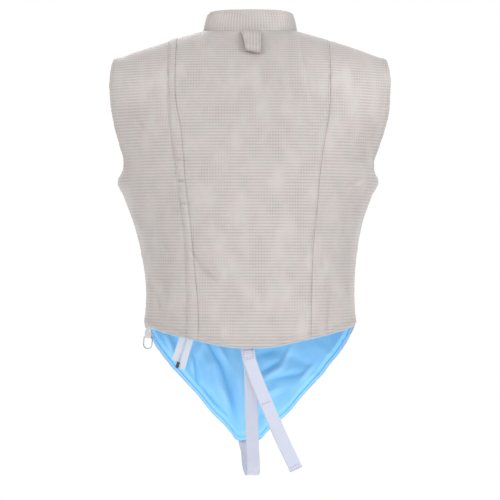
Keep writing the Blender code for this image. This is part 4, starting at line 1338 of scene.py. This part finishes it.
def make_zip():
    """The two ends of zip tape under the left back seam, with their teeth and the pin."""
    start, across, down, facing = hem_frame(ZIP_OUT, 2 * ZIP_TAPE_WIDTH)
    lean = down * math.cos(ZIP_TAIL_LEAN) + across * math.sin(ZIP_TAIL_LEAN)
    beside = np.cross(facing, lean)
    steps = np.array([[-0.012], [0.0], [0.35 * ZIP_TAIL_LENGTH], [0.7 * ZIP_TAIL_LENGTH], [ZIP_TAIL_LENGTH]])
    centres, hands = [], []
    for name, hand, longer in (("zip_tape_outer", 1, 0.0), ("zip_tape_inner", -1, ZIP_INNER_LONGER)):
        offset = hand * (ZIP_TAPE_WIDTH + 0.0008) / 2
        sway = 0.0008 * hand * (np.maximum(steps, 0) / ZIP_TAIL_LENGTH) ** 2
        along = np.where(steps < 0, down, lean) * steps * (1 + longer * (steps > 0))
        path = start + along - beside * (offset + sway) - facing * 0.0004 * (hand > 0)
        path = resampled(path, 0.0012)
        grid, uv = ribbon(path, ZIP_TAPE_WIDTH, np.repeat(facing[None], len(path), axis=0), 13)
        slack = 0.00035 * np.sin(np.linspace(0, 9, len(path)) + hand)[:, None]
        slack = slack * bell((np.linspace(-0.5, 0.5, 13) - 0.1 * hand) / 0.4)
        grid = grid - facing * np.abs(slack)[..., None]
        piece = cloth(name + "_cloth", grid, uv, TAPE_WALL, "tape", name, "tape")
        declare()
        edges = grid[:, [0, -1]]
        near = edges[:, np.argmin(np.linalg.norm(edges[0] - start, axis=1))]
        centres.append(resampled(near, TEETH_PITCH)[3:-3])
        hands.append(np.full(len(centres[-1]), hand))
    blocks(np.concatenate(centres), np.concatenate(hands), beside, facing, lean)
    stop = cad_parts["zip_stop"]
    stop.data.materials.clear()
    stop.data.materials.append(finishes()["dark"])


def blocks(centres, hands, beside, facing, lean):
    """The zip's teeth: a block at each place along the tapes, of three rings of four corners, each
    further over the other tape and the last the smallest."""
    out, wide, thick = np.array(TOOTH_RINGS).T[:, :, None]
    along = np.array([-0.5, 0.5, 0.5, -0.5]) * wide * TOOTH_WIDTH
    off = np.array([-0.5, -0.5, 0.5, 0.5]) * thick * TOOTH_THICKNESS + 0.0003
    over = hands[:, None, None] * (0.0014 * out - 0.0006)
    points = centres[:, None, None] + over[..., None] * beside
    points = points + along[..., None] * lean + off[..., None] * facing
    index = np.arange(12).reshape(3, 4)
    faces = np.concatenate([tube(index), [index[0, ::-1], index[2]]])
    faces = faces + 12 * np.arange(len(centres))[:, None, None]
    closed_mesh("zip_teeth", points, faces, "teeth", (), "tape")


def closed_mesh(name, points, faces, finish, nodes, slot):
    """A piece of closed shapes, whose faces are turned to look out."""
    mesh = bpy.data.meshes.new(name)
    mesh.from_pydata(points.reshape(-1, 3).tolist(), [], faces.reshape(-1, 4).tolist())
    work = bmesh.new()
    work.from_mesh(mesh)
    bmesh.ops.recalc_face_normals(work, faces=work.faces)
    work.to_mesh(mesh)
    work.free()
    place(name, mesh, finishes()[finish], nodes, slot)


def turned(vector, axis, angle):
    """A vector turned about a unit axis at right angles to it."""
    return vector * np.cos(angle) + np.cross(axis, vector) * np.sin(angle)


def make_ring():
    """The wire ring at the left end of the hem, held in a folded tape that twists as it hangs.

    The tape goes down from the hem, round the ring's bar and up again. The ring is four quarter
    circles joined by straight lines.
    """
    start, across, down, facing = hem_frame(RING_OUT, RING_TAB_WIDTH)
    start = start - facing * 0.0005
    reach = RING_WIRE / 2 + 0.0007 + TAPE_WALL
    middle = start - facing * reach
    bar = middle + down * RING_TAB_LENGTH
    out = turned(facing, down, RING_TWIST)
    falls = np.array([[0.3], [0.45], [0.6], [0.7], [0.85]])
    look = turned(facing, down, RING_TWIST * ease(falls / 0.7))
    turn = np.radians(np.linspace(0, 180, 17))[:, None]
    under = out * np.cos(turn) + down * np.sin(turn)
    rises = np.array([[0.85], [0.7], [0.5]])
    path = [
        start + down * np.array([[-0.008], [0.003]]),
        middle + look * reach + down * (RING_TAB_LENGTH * falls),
        bar + under * reach,
        middle - out * reach + down * (RING_TAB_LENGTH * rises),
    ]
    outer = np.concatenate([np.tile(facing, (2, 1)), look, under, np.tile(-out, (3, 1))])
    grid, uv = ribbon(np.concatenate(path), RING_TAB_WIDTH, outer, 11)
    tab = cloth("ring_tab_tape", grid, uv, TAPE_WALL, "tab", "ring_tab", "tape")
    declare(grid, 6)

    across = turned(across, down, RING_TWIST)
    top, bottom = RING_TOP_CORNER, RING_LENGTH - RING_BOTTOM_CORNER
    corners = ((1, top, 90, top), (1, bottom, 0, RING_BOTTOM_CORNER))
    corners += ((-1, bottom, -90, RING_BOTTOM_CORNER), (-1, top, 180, top))
    hand, lower, begin, radius = np.array(corners).T[:, :, None]
    turn = np.radians(begin - np.linspace(0, 90, 16))
    sideways = hand * (RING_HALF_WIDTH - radius) + radius * np.cos(turn)
    line = bar + sideways[..., None] * across + (lower - radius * np.sin(turn))[..., None] * down
    ring_mesh(line.reshape(-1, 3), out)


def ring_mesh(line, flat):
    """A closed wire: a circle of twelve points carried round the closed line."""
    tangent = np.roll(line, -1, axis=0) - np.roll(line, 1, axis=0)
    beside = unit(np.cross(tangent, flat))
    turn = np.linspace(0, 2 * math.pi, 12, endpoint=False)[:, None]
    circle = np.cos(turn) * beside[:, None] + np.sin(turn) * flat
    points = line[:, None] + circle * RING_WIRE / 2
    faces = tube(np.arange(len(line) * 12).reshape(-1, 12), True)
    closed_mesh("ring_wire", points, faces, "metal", ("ring",), "ring_metal")


def make_stage():
    """A pale floor, a soft studio light all round, and the camera behind the vest."""
    scene = bpy.context.scene
    setup = scene.vest_stage
    floor = bpy.data.meshes.new("floor")
    corners = FLOOR_REACH * np.array([(-1, -1), (1, -1), (1, 1), (-1, 1)])
    floor.from_pydata([(x, y, setup.floor_height) for x, y in corners], [], [(0, 1, 2, 3)])
    floor.materials.append(Finish("Floor finish", (0.93, 0.93, 0.93), 0.9).material)
    ground = bpy.data.objects.new("floor", floor)
    scene.collection.objects.link(ground)

    world = bpy.data.worlds.new("Studio")
    world.use_nodes = True
    glow = world.node_tree.nodes["Background"]
    glow.inputs["Strength"].default_value = setup.ambient
    glow.inputs["Color"].default_value = (1, 1, 1, 1)
    scene.world = world

    for row in LIGHTS:
        lamp = bpy.data.lights.new(row.name, "AREA")
        lamp.size = row.size
        lamp.energy = getattr(setup, row.name.removesuffix("_light"))
        made = bpy.data.objects.new(row.name, lamp)
        made.location = row.place
        made.rotation_euler = (Vector(LIT_POINT) - Vector(row.place)).to_track_quat("-Z", "Y").to_euler()
        scene.collection.objects.link(made)

    camera = bpy.data.cameras.new("camera")
    camera.lens = CAMERA_LENS
    camera.sensor_width = 36
    eye = bpy.data.objects.new("camera", camera)
    eye.location = CAMERA_PLACE
    eye.rotation_euler = (math.radians(90), 0, math.radians(180))
    scene.collection.objects.link(eye)
    scene.camera = eye
    scene.view_settings.view_transform = "Standard"


# Settings and operators


class VestSizes(bpy.types.PropertyGroup):
    """Sizes of the weave."""

    weave_rows: bpy.props.FloatProperty(
        name="Weave rows", description="Distance between rows of the check", default=0.0048, unit="LENGTH"
    )
    weave_columns: bpy.props.FloatProperty(
        name="Weave columns",
        description="Distance between columns of the check",
        default=0.0043,
        unit="LENGTH",
    )
    weave_shade: bpy.props.FloatProperty(
        name="Weave shade", description="How dark the threads of the check are", default=0.70
    )


def colour_property(name, description, default):
    """A colour that a user may change."""
    return bpy.props.FloatVectorProperty(
        name=name, description=description, default=default, subtype="COLOR", size=3, min=0, max=1
    )


class VestColours(bpy.types.PropertyGroup):
    """Colours of the cloths, threads and ring."""

    lame: colour_property("Lame", "Metallic cloth", (0.408, 0.373, 0.360))
    lining: colour_property("Lining", "Satin lining", (0.255, 0.572, 0.905))
    webbing: colour_property("Webbing", "Crotch strap", (0.43, 0.452, 0.550))
    tape: colour_property("Tape", "Zip tape", (0.46, 0.50, 0.58))
    tab: colour_property("Ring tab", "Folded tape that holds the ring", (0.50, 0.49, 0.475))
    binding: colour_property("Binding", "Strip inside the back hem", (0.42, 0.49, 0.53))
    thread: colour_property("Thread", "Thread on the metallic cloth", (0.36, 0.335, 0.32))
    hem_thread: colour_property("Hem thread", "Thread along the back hem", (0.36, 0.28, 0.22))
    lining_thread: colour_property("Lining thread", "Thread on the lining", (0.20, 0.50, 0.80))
    webbing_thread: colour_property("Webbing thread", "Thread on the webbing", (0.24, 0.205, 0.22))
    metal: colour_property("Ring", "Ring wire", (0.36, 0.35, 0.345))


class VestStage(bpy.types.PropertyGroup):
    """The floor and the lights."""

    floor_height: bpy.props.FloatProperty(
        name="Floor", description="Height of the floor", default=-1.45, unit="LENGTH"
    )
    ambient: bpy.props.FloatProperty(name="Ambient", description="Light from all round", default=1.0)
    key: bpy.props.FloatProperty(name="Key", description="Key light, watts", default=45.0)
    side: bpy.props.FloatProperty(name="Side", description="Light on the left, watts", default=27.0)
    fill: bpy.props.FloatProperty(name="Fill", description="Fill light, watts", default=28.0)
    front: bpy.props.FloatProperty(name="Front", description="Light on the front, watts", default=34.0)


class VEST_OT_stage(bpy.types.Operator):
    """Adds the floor, the light and the camera"""

    bl_idname = "vest.stage"
    bl_label = "Stage"

    def execute(self, context):
        make_stage()
        return {"FINISHED"}


class VEST_OT_back(bpy.types.Operator):
    """Adds the three back panels"""

    bl_idname = "vest.back"
    bl_label = "Back"

    def execute(self, context):
        make_back()
        return {"FINISHED"}


class VEST_OT_front(bpy.types.Operator):
    """Adds the front panel"""

    bl_idname = "vest.front"
    bl_label = "Front"

    def execute(self, context):
        make_front()
        return {"FINISHED"}


class VEST_OT_lining(bpy.types.Operator):
    """Adds the blue lining of the front"""

    bl_idname = "vest.lining"
    bl_label = "Lining"

    def execute(self, context):
        make_lining()
        return {"FINISHED"}


class VEST_OT_fly(bpy.types.Operator):
    """Adds the strip over the zip"""

    bl_idname = "vest.fly"
    bl_label = "Fly"

    def execute(self, context):
        make_fly()
        return {"FINISHED"}


class VEST_OT_collar(bpy.types.Operator):
    """Adds the standing collar"""

    bl_idname = "vest.collar"
    bl_label = "Collar"

    def execute(self, context):
        make_collar()
        return {"FINISHED"}


class VEST_OT_loop(bpy.types.Operator):
    """Adds the loop under the collar"""

    bl_idname = "vest.loop"
    bl_label = "Neck loop"

    def execute(self, context):
        make_neck_loop()
        return {"FINISHED"}


class VEST_OT_hem_tape(bpy.types.Operator):
    """Adds the strip inside the back hem"""

    bl_idname = "vest.hem_tape"
    bl_label = "Hem tape"

    def execute(self, context):
        make_hem_tape()
        return {"FINISHED"}


class VEST_OT_straps(bpy.types.Operator):
    """Adds the crotch strap and its loose end"""

    bl_idname = "vest.straps"
    bl_label = "Straps"

    def execute(self, context):
        make_straps()
        return {"FINISHED"}


class VEST_OT_zip(bpy.types.Operator):
    """Adds the zip's two tape ends, teeth and pin"""

    bl_idname = "vest.zip"
    bl_label = "Zip"

    def execute(self, context):
        make_zip()
        return {"FINISHED"}


class VEST_OT_ring(bpy.types.Operator):
    """Adds the ring and its tape"""

    bl_idname = "vest.ring"
    bl_label = "Ring"

    def execute(self, context):
        make_ring()
        return {"FINISHED"}


OPERATORS = (
    VEST_OT_stage,
    VEST_OT_back,
    VEST_OT_front,
    VEST_OT_lining,
    VEST_OT_fly,
    VEST_OT_collar,
    VEST_OT_loop,
    VEST_OT_hem_tape,
    VEST_OT_straps,
    VEST_OT_zip,
    VEST_OT_ring,
)


class VEST_PT_panel(bpy.types.Panel):
    """Lists the pieces and their settings"""

    bl_label = "Vest"
    bl_idname = "VEST_PT_panel"
    bl_space_type = "VIEW_3D"
    bl_region_type = "UI"
    bl_category = "Vest"

    def draw(self, context):
        for operator in OPERATORS:
            self.layout.operator(operator.bl_idname)
        for group in ("vest_sizes", "vest_colours", "vest_stage"):
            settings = getattr(context.scene, group)
            for name in settings.__annotations__:
                self.layout.prop(settings, name)


CLASSES = (VestSizes, VestColours, VestStage, *OPERATORS, VEST_PT_panel)


def register():
    for made in CLASSES:
        bpy.utils.register_class(made)
    bpy.types.Scene.vest_sizes = bpy.props.PointerProperty(type=VestSizes)
    bpy.types.Scene.vest_colours = bpy.props.PointerProperty(type=VestColours)
    bpy.types.Scene.vest_stage = bpy.props.PointerProperty(type=VestStage)


def unregister():
    for name in ("vest_sizes", "vest_colours", "vest_stage"):
        delattr(bpy.types.Scene, name)
    for made in reversed(CLASSES):
        bpy.utils.unregister_class(made)


def main():
    register()
    bpy.ops.vest.stage()
    bpy.ops.vest.back()
    bpy.ops.vest.front()
    bpy.ops.vest.lining()
    bpy.ops.vest.fly()
    bpy.ops.vest.collar()
    bpy.ops.vest.loop()
    bpy.ops.vest.hem_tape()
    bpy.ops.vest.straps()
    bpy.ops.vest.zip()
    bpy.ops.vest.ring()


if __name__ == "__main__":
    main()
